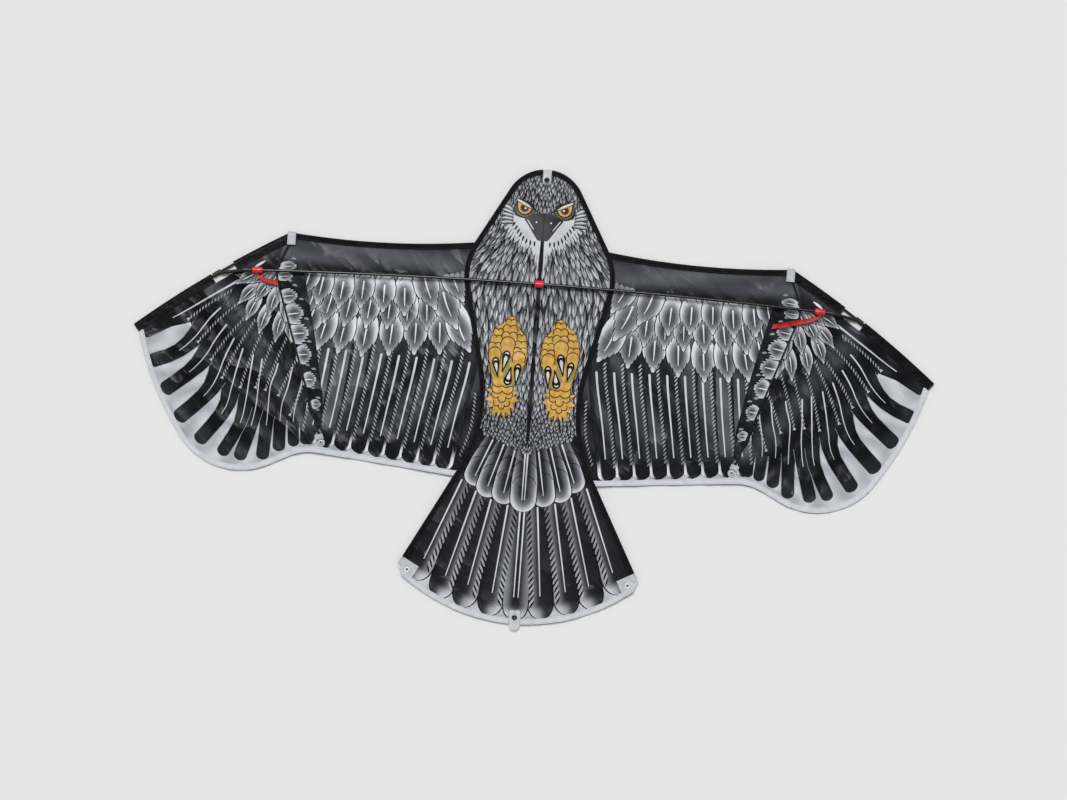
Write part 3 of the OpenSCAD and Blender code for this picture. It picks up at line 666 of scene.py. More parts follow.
def primaries(shapes):
    """Black flight feathers of the outer wing with painted sheen, their shafts, and a rope of strokes
    between each two.
    """
    lines = [bend(points, 25) for points, _ in PRIMARIES]
    for k in reversed(range(len(lines))):
        line, width = lines[k], PRIMARIES[k][1]
        shape = quill_shape(run_lengths(line)[-1])

        def quill(points, line=line):
            u, _ = local(line, points)
            tip = smooth((u - 0.84) / 0.1)[:, None] * 0.6
            # The painted sheen of the black cloth, lighter towards the tip.
            return primary_cloth_painted_sheen(points) * (1 - tip) + linear("#2c2d33") * tip

        if k:
            draw(shapes, leaf(line, width, shape, 0.8), "#8f9199")
        draw(shapes, leaf(line, width, shape, 0.2), INK)
        draw(shapes, leaf(line, width - 0.8, shape), quill)
    inside_gaps = [(x - 3, y + 6) for x, y in GAPS[::-1]]
    draw(shapes, [(345, 215), (330, 60), (298, -62), *inside_gaps, (491, 78), (400, 140)], primary_cloth_painted_sheen)
    for k, line in enumerate(lines):
        draw(shapes, trail(line, 0.26 if k else 0.13, 0.74, 2.1 if k else 3.0), "#c9cbd1")
    for points in PRIMARY_ROPES:
        end, run = rope(shapes, bend(points, 9), 0.0, 0.94, 5.0, 6.0, 1.9, ("#8f939b", "#9a9ca4"))
        side = 2.4 * left_of(run)
        draw(shapes, [end + 1.5 * run, end + 6.5 * run - side, end + 6.5 * run + side], "#b4b6bc")


def wrist_feathers(shapes):
    """Small feathers at the bend of the wing, the plain dark cloth above them with one streak of painted
    sheen, and a small painted highlight.
    """

    def sheen(points):
        # Painted sheen: one light streak across the dark cloth.
        glow = np.exp(-((points[:, 1] - 172 + 0.6 * (points[:, 0] - 375)) / 10) ** 2)
        return ramp(glow, (0, "#131416"), (1, "#3d3e44"))

    for tip, base in WRIST_FEATHERS:
        covert(shapes, base, tip, 16.5, core="#3c3e43", edge="#ced1d7", sag=0.03)
    draw(shapes, [(347, 204), (362, 150), (403, 148), (440, 145)], sheen)
    # A small painted highlight in the shaft's white, at the edge of the sleeve.
    draw(shapes, leaf(np.array([(376, 162.5), (383, 157.8), (390, 152.8)]), 3.4, POINTED), SHAFT)


def print_of(*parts):
    """A print, laid down part by part."""
    shapes = []
    for part in parts:
        part(shapes)
    return shapes


# Body print

TAIL_MARGIN = [(-20, -40), (-20, -250), (110, -250), (150, -240), (176, -240), (110, -40)]
TAIL_FEATHERS = [
    # base and tip of each tail feather, outermost first
    ((84, -112), (141, -257)),
    ((64, -126), (107, -280)),
    ((43, -136), (73, -290)),
    ((20, -142), (36, -299)),
    ((0, -146), (0, -303)),
]
TAIL_COVERTS = [
    # base, tip and width of each tail covert, outermost first
    ((44, -50), (73, -122), 30),
    ((29, -54), (54, -137), 31),
    ((14, -58), (30, -145), 32),
    ((0, -60), (0, -154), 35),
]
# Tones across a tail feather, on its length and at its end: distance to the left of its shaft, colour
TAIL_VANE = [(-16, "#94959b"), (-9, "#76777d"), (-4, "#404146"), (-1, "#232328"), (17, "#17171c")]
TAIL_LOBE = [(-16, "#dcdce1"), (-2, "#a8a8ae"), (5, "#4a4a50"), (12, "#242428"), (17, "#5f5f65")]
TAIL_SHAFT = "#d0d1d6"
GOLD_LINE = "#4f320f"


def body_ground(shapes):
    draw(shapes, [(-20, -60), (200, -60), (200, 330), (-20, 330)], "#2b2c30")


def rounded_covert(shapes, base, tip, width):
    """A tail covert: round end, dark heart, light outer rim split by two curved lines, and a white shaft."""
    line = middle_line(base, tip)
    length = run_lengths(line)[-1]
    shape = rounded(length, 0.47 * width, 0.62)

    def vane(points):
        u, v = local(line, points)
        across = 2 * v / width
        side = np.where(across > 0, 0.95 * across, -0.5 * across)
        end = np.hypot(across, np.maximum(u - 0.70, 0) / 0.30)
        share = smooth((u - 0.58) / 0.22)
        r = side * (1 - share) + end * share
        return ramp(r, (0.0, "#17181b"), (0.35, "#2c2d32"), (0.72, "#75767d"), (1.0, TAIL_SHAFT))

    draw(shapes, leaf(line, width, shape, 1.5), INK)
    draw(shapes, leaf(line, width, shape), vane)
    draw(shapes, leaf(line[:12], 0.6 * width, shape), vane)
    for share in (0.26, 0.47):
        reach = np.array([0.04, 0.24, 0.38, 0.48])
        points, run = along(line, length * (share + np.array([0.0, 0.02, 0.06, 0.13])))
        split = bend(points + (reach * width)[:, None] * left_of(run))
        draw(shapes, trail(split, 0.0, 1.0, 1.3, 0.5), INK)
    shift = 1.8 if tip[0] == 0 else 0.0
    draw(shapes, trail(line + np.array([shift, 0.0]), 0.12, 0.83, 2.2, 0.5), TAIL_SHAFT)


def tail(shapes):
    """Long tail feathers with round lobed ends on black cloth, their barbs and shafts, and their coverts."""
    draw(shapes, TAIL_MARGIN, "#111113")
    for base, tip in TAIL_FEATHERS:
        line = middle_line(base, tip)
        shape = rounded(run_lengths(line)[-1], 23, 0.55)

        def vane(points, line=line, middle=tip[0] == 0):
            u, v = local(line, points)
            if middle:
                v = -np.abs(v) + 3
            end = smooth((u - 0.87) / 0.09)[:, None]
            return ramp(v, *TAIL_VANE) * (1 - end) + ramp(v, *TAIL_LOBE) * end

        draw(shapes, leaf(line, 34, shape, 2.0), INK)
        for width in (34, 20):
            draw(shapes, leaf(line, width, shape), vane)
    for base, tip in TAIL_FEATHERS:
        line = middle_line(base, tip)
        shift = 3.0
        if tip[0]:
            barbs = line - np.array([12.0, 1.0])
            half_pitch = 4.2 / run_lengths(line)[-1]
            rope(shapes, barbs, 0.05, 0.90, 8.4, 14.0, 3.6, ("#66676d", "#adaeb4"), turn=-34)
            rope(shapes, barbs, 0.05 + half_pitch, 0.90, 8.4, 13.0, 2.6, (INK, INK), turn=-34)
            shift = 0.0
        draw(shapes, trail(line + np.array([shift, 0.0]), 0.03, 0.80, 2.5, 0.5), TAIL_SHAFT)
    for base, tip, width in TAIL_COVERTS:
        rounded_covert(shapes, base, tip, width)


# Small feathers of the body at some heights: their length, their width and the distance of their rows
FIELD_Y = (-76, -45, -10, 40, 100, 165, 195, 225, 250, 312)
FIELD_LENGTH = (8, 10, 15, 23, 30, 32, 24, 16, 15, 11)
FIELD_WIDTH = (4.4, 4.8, 5.8, 7.2, 8.6, 8.8, 7.0, 5.8, 5.6, 5.0)
FIELD_PITCH = (4.4, 5.0, 7.4, 11.5, 16, 16.5, 11, 7.8, 7.4, 6.0)
# Tones of their leaves, tips and streaks, on the belly and head and on the breast
DEEP_TONES = (("#3d3e43", "#48494e", "#35363b", "#525358"), ("#85878d", "#96989d", "#73757b"),
              ("#b9bbc0", "#a3a5aa", "#cdcfd3"))
BREAST_TONES = (("#56585e", "#64666c", "#4b4d53", "#717379"), ("#989aa0", "#abadb2", "#83858b"),
                ("#d6d8dc", "#b4b6bb", "#c8cacf"))
HALF_BODY = 112
PLUMAGE_SEED = 11


def plumage(shapes):
    """Rows of small feathers over the whole body, longest on the breast, drawn from the belly up."""
    chance = np.random.default_rng(PLUMAGE_SEED)
    y = FIELD_Y[0]
    row = 0
    while y < FIELD_Y[-1]:
        length, width, pitch = (np.interp(y, FIELD_Y, t) for t in (FIELD_LENGTH, FIELD_WIDTH, FIELD_PITCH))
        fan = np.interp(y, (-76, 60, 130, 195, 250), (0.1, -0.1, 0.05, 0.62, 0.25))
        deep = smooth((20 - y) / 80) + 0.8 * smooth((y - 212) / 40)
        choices = DEEP_TONES if deep > 0.4 else BREAST_TONES
        for k in range(-1, int(HALF_BODY / width) + 1):
            jitter = chance.uniform(-1, 1, 4)
            x = (k + 0.5 * (row % 2)) * width + 0.16 * width * jitter[0]
            heading = fan * x / 65 + 0.13 * jitter[1]
            tones = [choice[int(chance.integers(len(choice)))] for choice in choices]
            side = 1 if chance.uniform() < 0.6 else -1
            tip = (x, y + 0.42 * pitch * jitter[3])
            if tip[1] > -77 + 0.37 * abs(x):
                long = length * (1 + 0.12 * jitter[2])
                body_feather(shapes, tip, heading, long, width * 0.90, tones, side)
        y += pitch
        row += 1


def gold(points):
    """Gold of the feet, a little uneven."""
    x, y = points[:, 0], points[:, 1]
    patch = 0.5 + 0.5 * np.sin(0.31 * x + 0.23 * y) * np.sin(0.27 * x - 0.33 * y + 1.2)
    return ramp(patch, (0, "#bf9543"), (0.5, "#cba14e"), (1, "#d9b163"))


def outlined(shapes, outline, middle, grow, shade):
    """A shape with a brown line round it, which is a copy that has grown from the middle."""
    middle = np.array(middle, float)
    for size, tone in ((grow, GOLD_LINE), (1.0, shade)):
        draw(shapes, middle + size * (np.array(outline, float) - middle), tone)


def scale_row(shapes, left, right, top, depth, count):
    """A row of round foot scales. With a negative depth they bulge down instead of up."""
    way = math.copysign(1, depth)
    step = (right - left) / count
    radius = 0.60 * step
    hubs = []
    for k in range(count):
        lift = 0.30 * step * (1 - abs(2 * k - count + 1))
        hubs.append((left + step * (k + 0.5), top + way * (lift - radius)))
    for grow, shade in ((0.7, GOLD_LINE), (-0.8, gold)):
        for hub in hubs:
            draw(shapes, disc(hub, radius + grow, 16), shade)
    level = hubs[0][1]
    body = [(left, level), *hubs, (right, level), (right - 1, top - depth), (left + 1, top - depth)]
    draw(shapes, body, gold)


def claw(shapes, root, tip, width):
    """A drop-shaped claw: thick black line, white cuticle and white horn."""
    root, tip = np.array(root, float), np.array(tip, float)
    run = (root - tip) / np.linalg.norm(root - tip)
    draw(shapes, leaf(straight(tip, root), width, DROP, 0.4), "#15100c")
    horn = np.array([tip + 6 * run, (root + tip) / 2 - 1.0 * run, root - 8 * run])
    draw(shapes, leaf(horn, 0.44 * width, DROP), "#d6d0d4")
    across = left_of(run) * 0.27 * width
    arc = [(-1, -0.9), (0, 0.2), (1, -0.9), (0.7, 1.2), (0, 2.2), (-0.7, 1.2)]
    draw(shapes, [root - 4.6 * run + side * across + ahead * run for side, ahead in arc], "#d9d3cc")


TOES = [
    # left, right and top of each row of scales, from the tip of the toe down, and their number
    [(12.5, 25, 88, 2), (10.5, 26.5, 79, 2), (10, 27.5, 70, 2), (12.5, 28, 60, 1)],
    [(44.5, 57, 94, 2), (45, 60, 85, 2), (45.5, 62, 75, 2), (46, 61, 64, 1)],
    [(27, 41, 108, 2), (25, 44, 100, 2), (25, 45, 90.5, 2), (28, 45, 78.5, 1)],
]
CLAWS = [
    # root, tip and width
    ((36, 65), (41.8, 34), 11.0),
    ((52.6, 55), (47.6, 28), 10.0),
    ((20.2, 48), (22.4, 17.5), 10.0),
    ((34.6, 17), (29.8, 43), 11.5),
]


def foot(shapes):
    """A scaly gold foot with three toes up, four claws and a feathered leg below."""
    hub = np.array([38.0, 2.0])
    spikes = []
    for k in range(21):
        a = math.radians(158 + 224 * k / 20)
        reach = np.array([23.0, 34.0]) if k % 2 else np.array([15.0, 23.0])
        uneven = np.array([0.9 * (k % 3), 0.7 * (k % 4)])
        spikes.append(hub + reach * np.array([math.cos(a), math.sin(a)]) + uneven)
    outlined(shapes, spikes, hub, 1.06, gold)
    for y, left, right, count in ((-14, 29, 50, 3), (-4, 26, 53, 3), (5, 26, 53, 2), (14, 29, 52, 2)):
        scale_row(shapes, left, right, y, -15, count)
    palm = [(12, 60), (14, 40), (22, 20), (28, 16), (52, 20), (57, 34), (61, 60)]
    outlined(shapes, palm, (37, 40), 1.05, "#9a8a4c")
    draw(shapes, [(30, 16), (52, 17), (56, 33), (50, 26), (40, 27), (38, 20)], gold)
    draw(shapes, [(38, 52), (44, 52), (46, 30), (41, 27)], gold)
    draw(shapes, [(27, 50), (33, 50), (29, 32), (27, 30)], gold)
    mitten = [(12, 46), (9.5, 56), (9.5, 68), (11.5, 79), (13, 86), (18, 90), (22.5, 96), (24.5, 104),
              (29, 109.5), (34, 111.5), (40, 108.5), (45, 101), (51, 98), (56.5, 92.5), (59, 83),
              (61.5, 72), (62.5, 60), (60, 50), (50, 58), (38, 64), (27, 55)]
    outlined(shapes, mitten, (36, 74), 1.035, gold)
    for rows in TOES:
        for left, right, top, count in rows:
            scale_row(shapes, left, right, top, 12 if count > 1 else 17, count)
    for root, tip, width in CLAWS:
        claw(shapes, root, tip, width)


DASHES = [(40.6, 238.2), (37.2, 233.6), (34.0, 229.0), (30.6, 224.4), (26.6, 219.8), (22.0, 216.2),
          (16.4, 214.0), (10.6, 213.2)]


def cheek(shapes):
    """A white cheek fringed with light streaks, a row of dark dashes, and feathers beside the eye."""
    white = [(-4, 208), (8, 208), (20, 210.5), (30, 217.5), (39, 227), (46, 236), (48, 243),
             (43, 251), (33, 248), (22, 246), (17, 238), (11, 228), (-4, 216)]
    for k in range(16):
        t = k / 15
        place = np.array([50 - 48 * t, 244 - 37 * t ** 0.62])
        run = np.array([0.75 - 0.75 * t, -1.0])
        tip = place + (10 + 2.5 * math.sin(5 * k)) * run
        draw(shapes, leaf(np.array([place - 3 * run, (place + tip) / 2, tip]), 3.4, POINTED), "#c9cbcf")
    draw(shapes, white, "#c9cccc")
    for k, place in enumerate(DASHES):
        run = np.array([-0.7 * (1 - k / 7), 1.0])
        dash = np.array(place) + np.array([[-4.2], [0.0], [4.2]]) * run / np.linalg.norm(run)
        draw(shapes, leaf(dash, 2.6, POINTED), "#1a1a1d")
    for k in range(5):
        base = np.array([41.0 + 0.5 * k, 240.5 + 4.2 * k])
        vane = straight(base, base + np.array([18.0 - 0.9 * k, -1.5 + 1.9 * k]), (0, 1.2))
        draw(shapes, leaf(vane, 5.6, POINTED, 1.0), INK)
        draw(shapes, leaf(vane, 5.0, POINTED), "#86898d")
        draw(shapes, leaf(vane + np.array([1.0, 0.5]), 2.0, POINTED), "#c9cbce")


def eye(shapes):
    """A fierce gold eye in a dark mask: rays round it, a lid cut by a slanting brow, rings and a glint."""
    hub = np.array([27.0, 260.6])
    draw(shapes, hub + np.array([1.0, -1.5]) + disc((0, 0), 1.0, 26) * np.array([15.0, 12.0]), "#1d1f22")
    for k in range(15):
        a = math.radians(-165 + 14 * k)
        ray = np.array([1.06 * math.cos(a), 0.94 * math.sin(a)])
        tone = "#8f8b57" if k < 10 else "#8c6a5a"
        draw(shapes, stroke(hub + 10.2 * ray, hub + 12.6 * ray, 1.4, 0.6), tone)
    rim = [(15.6, 259.8), (19.4, 254.0), (25.5, 251.0), (31.6, 251.8), (36.2, 255.8), (38.2, 261.4),
           (39.8, 275.4), (30.0, 271.4), (21.4, 267.0)]
    lid = [(18.2, 259.6), (21.2, 255.4), (26.0, 253.0), (31.0, 253.6), (34.8, 257.0), (36.4, 261.4),
           (37.2, 268.6), (30.4, 265.4), (24.0, 262.6)]
    draw(shapes, rim, "#231a14")
    draw(shapes, lid, "#cfae72")
    for size, tone in ((6.9, "#b98a3f"), (5.7, "#7c5424"), (4.9, "#3a2630"), (3.0, "#1d1219")):
        ring = disc(hub + np.array([0.6, 0.6]), size, 24)
        ring[:, 1] = np.minimum(ring[:, 1], 259.4 + (ring[:, 0] - 18.2) * 0.474)
        draw(shapes, ring, tone)
    draw(shapes, disc(hub + np.array([-0.6, 0.2]), 1.4, 12), "#e6dbdc")
    brow = [(17.0, 260.4), (24.0, 263.6), (30.4, 266.6), (37.6, 270.2), (38.6, 273.4), (30.0, 269.8),
            (22.0, 265.8)]
    draw(shapes, brow, "#d6d0c8")


def beak(shapes):
    """A charcoal beak, darkest at the middle seam, with a light and a dark line and a nostril dot."""
    horn = [(-4, 217.2), (6.5, 217.6), (9.5, 221), (14.5, 228.5), (19, 235.5), (23.5, 241.5), (27, 246),
            (22, 250.5), (12, 255.0), (-4, 256)]

    def charcoal(points):
        return ramp(points[:, 0], (0, "#29282c"), (1.2, "#444449"), (12, "#3b3b40"), (24, "#27272b"))

    draw(shapes, horn, charcoal)
    draw(shapes, leaf(np.array([(23.0, 245.8), (17.6, 239.6), (12.4, 231.6)]), 2.4, POINTED), "#d3d5d6")
    draw(shapes, stroke((20.8, 245.6), (10.6, 230.6), 1.5, 0.5), "#131316")
    draw(shapes, disc((10.0, 242.8), 1.2, 12), "#dcdce1")


def seam_marks(shapes):
    """The black throat stripe between white streaks, and a dark line of painted shade down the middle seam.
    """
    for x, top, low in ((3.6, 214, 172), (6.6, 211, 186), (10.2, 210, 196)):
        streak = np.array([(x, top), (x + 0.6, (top + low) / 2), (x + 1.0, low)])
        draw(shapes, leaf(streak, 2.2, POINTED), "#cfd0d4")
    draw(shapes, [(-4, 156), (1.8, 156), (2.8, 190), (2.4, 217.4), (-4, 217.4)], "#141416")
    # Painted shade: a dark meandering line down the middle seam.
    seam = bend([(0, -60), (1.6, -10), (0.8, 60), (2.2, 110), (0.4, 156)])
    draw(shapes, trail(seam, 0.0, 1.0, 3.4, 1.0), "#121215")


# Cloth

# Points of the plan that are closer than this become one, in mm
MERGE = 0.004
# Smaller loops of a plan are left out, in square mm
LEAST_AREA = 0.5
# Rays start this far above or below the kite, clear of every piece, in m
RAY_START = 0.1


def area_of(loop):
    x, y = loop[:, 0], loop[:, 1]
    return 0.5 * np.sum(x * np.roll(y, -1) - y * np.roll(x, -1))


def counter_clockwise(loop):
    return loop if area_of(loop) > 0 else loop[::-1]


def sides_of(triangles):
    return np.concatenate([triangles[:, [0, 1]], triangles[:, [1, 2]], triangles[:, [2, 0]]])


def rim_loops(triangles):
    """Loops of points round a set of flat triangles: counter-clockwise outside, clockwise round holes."""
    sides = set()
    for corners in triangles:
        for a, b in zip(corners, [*corners[1:], corners[0]]):
            if (b, a) in sides:
                sides.remove((b, a))
            elif a != b:
                sides.add((a, b))
    nexts = {}
    for a, b in sorted(sides):
        nexts.setdefault(a, []).append(b)
    loops = []
    while nexts:
        start = min(nexts)
        loop = [start]
        while True:
            there = nexts[loop[-1]].pop()
            if not nexts[loop[-1]]:
                del nexts[loop[-1]]
            if there == start:
                break
            loop.append(there)
        loops.append(np.array(loop))
    return loops


def straightened(loop, slack=0.02):
    """The same loop without the points that lie within slack of a straight side, in mm."""
    kept = [0]
    for k in range(2, len(loop) + 1):
        start, end = loop[kept[-1]], loop[k % len(loop)]
        run = (end - start) / max(np.linalg.norm(end - start), 1e-9)
        off = np.abs((loop[kept[-1] + 1:k] - start) @ left_of(run))
        if off.max() > slack:
            kept.append(k - 1)
    return loop[kept]


def solid_of(name):
    """A node's mesh, and the same solid in a form that rays can be cast at."""
    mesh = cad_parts[name].data
    corners = [v.co for v in mesh.vertices]
    return mesh, bvhtree.BVHTree.FromPolygons(corners, [p.vertices[:] for p in mesh.polygons])


def plan_loops(name):
    """The outlines of a node seen from above, in mm. A piece of the plan counts if solid lies under it."""
    mesh, solid = solid_of(name)
    points = np.array([v.co for v in mesh.vertices])[:, :2] / MM
    sides = {tuple(sorted(e)) for p in mesh.polygons if p.normal.z > 0.02 for e in p.edge_keys}
    made = delaunay_2d_cdt([Vector(p) for p in points], sorted(sides), [], 0, MERGE, True)
    plan = np.array(made[0])
    kept = []
    for corners in made[2]:
        middle = plan[corners].mean(0) * MM
        if solid.ray_cast((middle[0], middle[1], RAY_START), (0, 0, -1))[0]:
            kept.append(corners)
    loops = [straightened(plan[loop]) for loop in rim_loops(kept)]
    return [loop for loop in loops if abs(area_of(loop)) > LEAST_AREA]


def resampled(loop, step):
    """The same loop with no side longer than step."""
    points = []
    for a, b in zip(loop, np.roll(loop, -1, axis=0)):
        count = max(1, math.ceil(np.linalg.norm(b - a) / step))
        points.extend(a + (b - a) * k / count for k in range(count))
    return np.array(points)


def triangulated(loops, shapes, spares):
    """Triangles that fill the loops, leave out their holes and follow the edges of the shapes.
    Gives the points, the triangles and, for each, the last shape that covers it, or -1."""
    outlines = [counter_clockwise(loop) for loop in [*loops, *[outline for outline, _ in shapes]]]
    points, faces = [], []
    for outline in outlines:
        faces.append(list(range(len(points), len(points) + len(outline))))
        points.extend(Vector(p) for p in outline)
    points.extend(Vector(p) for p in spares)
    made = delaunay_2d_cdt(points, [], faces, 0, MERGE, True)
    outside = {k for k, loop in enumerate(loops) if area_of(loop) > 0}
    holes = {k for k, loop in enumerate(loops) if area_of(loop) < 0}
    corners, owners = [], []
    for triangle, inside in zip(made[2], made[5]):
        if outside.intersection(inside) and not holes.intersection(inside):
            corners.append(triangle)
            owners.append(max(inside) - len(loops))
    used = np.unique(np.array(corners))
    renumber = np.full(len(made[0]), -1)
    renumber[used] = np.arange(len(used))
    xy = np.array([made[0][k] for k in used])
    return xy, renumber[np.array(corners)], np.maximum(np.array(owners), -1)


def grid_over(loops, spacing):
    points = np.concatenate(loops)
    low, high = points.min(0), points.max(0)
    grid = np.stack(np.meshgrid(np.arange(low[0] + 0.5 * spacing, high[0], spacing),
                                np.arange(low[1] + 0.5 * spacing, high[1], spacing)), axis=2)
    grid[1::2, :, 0] += 0.5 * spacing
    return grid.reshape(-1, 2)


def tree_of(points):
    tree = kdtree.KDTree(len(points))
    for k, p in enumerate(points):
        tree.insert((p[0], p[1], 0), k)
    tree.balance()
    return tree


def distance_to(points, tree):
    return np.array([tree.find((p[0], p[1], 0))[2] for p in points])


def shell(name, xy, triangles, top, bottom, colours=None):
    """A closed thin piece from a flat triangulation, with the heights of its top and bottom in mm."""
    count = len(xy)
    directed = sides_of(triangles)
    _, first, uses = np.unique(np.sort(directed, axis=1), axis=0, return_index=True, return_counts=True)
    rim = directed[first[uses == 1]]
    walls = np.concatenate([
        np.stack([rim[:, 1], rim[:, 0], rim[:, 0] + count], axis=1),
        np.stack([rim[:, 1], rim[:, 0] + count, rim[:, 1] + count], axis=1),
    ])
    faces = np.concatenate([triangles, triangles[:, ::-1] + count, walls])
    points = np.concatenate([np.column_stack([xy, top]), np.column_stack([xy, bottom])]) * MM
    mesh = bpy.data.meshes.new(name)
    mesh.from_pydata(points.tolist(), [], faces.tolist())
    if colours is not None:
        tones = np.concatenate([colours, colours[:, ::-1], np.full((len(walls), 3, 3), 0.5)])
        # The print's colours, painted sheen and shade included, on each corner.
        print_and_painted_sheen = np.concatenate([tones.reshape(-1, 3), np.ones((tones.size // 3, 1))], axis=1)
        mesh.color_attributes.new("print", "FLOAT_COLOR", "CORNER")
        mesh.color_attributes["print"].data.foreach_set("color", print_and_painted_sheen.astype(np.float32).ravel())
        back = np.zeros(len(faces), np.int32)
        back[len(triangles):2 * len(triangles)] = 1
        mesh.polygons.foreach_set("material_index", back)
    mesh.update()
    made = bpy.data.objects.new(name, mesh)
    bpy.context.scene.collection.objects.link(made)
    return made


def finished(made, node_name, materials, angle):
    """Gives a new piece its materials and smooth shading, and puts it in its node's place."""
    for material in materials:
        made.data.materials.append(material)
    bpy.ops.object.select_all(action="DESELECT")
    made.select_set(True)
    bpy.context.view_layer.objects.active = made
    bpy.ops.object.shade_smooth_by_angle(angle=math.radians(angle))
    made.select_set(False)
    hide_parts(node_name)
    return made


HELD_TREE = tree_of(np.concatenate([
    resampled(loop, 4)
    for side in SIDES for kind in ("body_binding", "leading_edge_sleeve")
    for loop in plan_loops(f"{side}_{kind}")
]))
# Folds of the sails: place across their run, half width and height, in mm
INNER_FOLDS = ((78, 6, 0.9), (126, 8, 1.2), (168, 6, 0.9), (206, 10, 1.5), (243, 7, 1.1))
OUTER_FOLDS = ((214, 7, 1.1), (270, 9, 1.3), (318, 7, 1.0), (362, 8, 1.1))
SHOULDER = (348, 208)
STRUT_END = (283, -78)


def folds(across, places):
    return sum(rise * np.exp(-((across - place) / width) ** 2) for place, width, rise in places)


def ripple(xy):
    """Height of the cloth's soft folds and sag, in mm. They die out where a rod holds the cloth.
    Folds slant over the inner wing, run beside the strut on the outer wing and fan out from the shoulder.
    The left wing's folds are shifted a little."""
    x, y = xy[:, 0], xy[:, 1]
    out = np.abs(x)
    left = (x < 0) * 1.0
    slant = 0.86 * out + 0.51 * y + 9 * left
    beside = 0.802 * out - 0.597 * y - 11 * left
    sway = 5 * np.sin(y / 30 + left)
    inner = 0.35 * np.sin(slant / 9.5 + 0.9 * np.sin(y / 33) + left) + 0.16 * np.sin(slant / 4.1 + 0.02 * y)
    inner += folds(slant + sway, INNER_FOLDS) + 0.8 * np.exp(-((y + 62 + 0.06 * out) / 7) ** 2)
    outer = 0.40 * np.sin(beside / 7.5 + 0.8 * np.sin(y / 41)) + 0.2 * np.sin(beside / 3.4 + 1.3)
    outer += folds(beside + sway, OUTER_FOLDS)
    share = smooth((out - 250 - 0.3 * (y + 80)) / 60)
    waves = inner * (1 - share) + outer * share
    dx, dy = SHOULDER[0] - out, SHOULDER[1] - y
    fan = 0.9 * np.sin(9 * np.arctan2(dy, dx) + 2 * left) * np.exp(-np.hypot(dx, dy) / 150)
    above = smooth((y - 130) / 40)
    waves = waves * (1 - 0.75 * above) + fan * above
    waves += 0.08 * np.sin(0.43 * x + 0.21 * y) + 0.07 * np.sin(0.24 * x - 0.47 * y + 1.9)
    rod = distance_to(xy, HELD_TREE)
    held = smooth(rod / 30) * smooth((out - 7) / 30)
    held *= 0.35 + 0.65 * smooth((out - 75) / 30)
    strut_end = np.hypot(out - STRUT_END[0], y - STRUT_END[1])
    sag = 2.0 * smooth((rod - 20) / 70) * smooth((strut_end - 12) / 50)
    return held * (waves - 0.9 - sag)


def shaded(xy, triangles, owners, shapes):
    """The print's colour at each corner of each triangle; where no shape lies, the unprinted cloth with its
    painted shade.
    """
    colours = np.zeros((len(triangles), 3, 3))
    shades = [white_cloth_painted_shade, *[shade for _, shade in shapes]]
    for owner in np.unique(owners):
        mine = owners == owner
        corners = xy[triangles[mine]].reshape(-1, 2)
        colours[mine] = shades[owner + 1](corners).reshape(-1, 3, 3)
    return colours


# Thickness of the sails, and the sides of their triangles along the rim and inside, in mm
SAIL_T = 0.35
RIM_STEP = 3.0
SAIL_STEP = 4.0


def printed_sails(kind, shapes):
    """Both sails of a kind: the right one is drawn, and the left one is its mirror image with its own folds.
    Also gives their flat size and area."""
    low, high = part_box(f"right_{kind}")
    middle = 0.5 * (low.z + high.z) / MM
    loops = [resampled(loop, RIM_STEP) for loop in plan_loops(f"right_{kind}")]
    xy, triangles, owners = triangulated(loops, shapes, grid_over(loops, SAIL_STEP))
    colours = shaded(xy, triangles, owners, shapes)
    made = {}
    for side, sign in SIDES.items():
        plan = xy * np.array([sign, 1])
        height = middle + ripple(plan)
        way = slice(None, None, sign)
        sail = shell(f"{side}_{kind}_cloth", plan, triangles[:, way], height + SAIL_T / 2,
                     height - SAIL_T / 2, colours[:, way])
        made[side] = finished(sail, f"{side}_{kind}", [CLOTH, CLOTH_BACK], 50)
    return made, (high - low)[:2], sum(area_of(loop) for loop in loops) * MM * MM


def follow_fold(piece):
    """Bakes the piece's place into its mesh."""
    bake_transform(piece)


wing_sails, wing_flat, wing_area = printed_sails("wing_sail", print_of(
    wing_grounds, primaries, secondaries, wing_coverts, plain_band, wrist_feathers, silver_shells))
body_sails, body_flat, body_area = printed_sails("body_sail", print_of(
    body_ground, tail, plumage, foot, cheek, eye, beak, seam_marks))


# Tapes, hems, sleeves and pockets

# Least thickness of a tape, and the distance of the rim's points that the stitches are counted by, in mm
TAPE_T = 0.2
STITCH_STEP = 0.6
# Heights are read this far inside the rim, in mm
RIM_INSET = 0.05
# Where a ray misses, the point of the solid nearest to this height counts, in m
NEAR_START = 0.02


def evened(values, triangles, rounds):
    """Heights evened out between neighbouring points."""
    pairs = sides_of(triangles)
    pairs = np.concatenate([pairs, pairs[:, ::-1]])
    count = np.bincount(pairs[:, 0], minlength=len(values))
    for _ in range(rounds):
        total = np.bincount(pairs[:, 0], weights=values[pairs[:, 1]], minlength=len(values))
        values = 0.5 * values + 0.5 * total / np.maximum(count, 1)
    return values


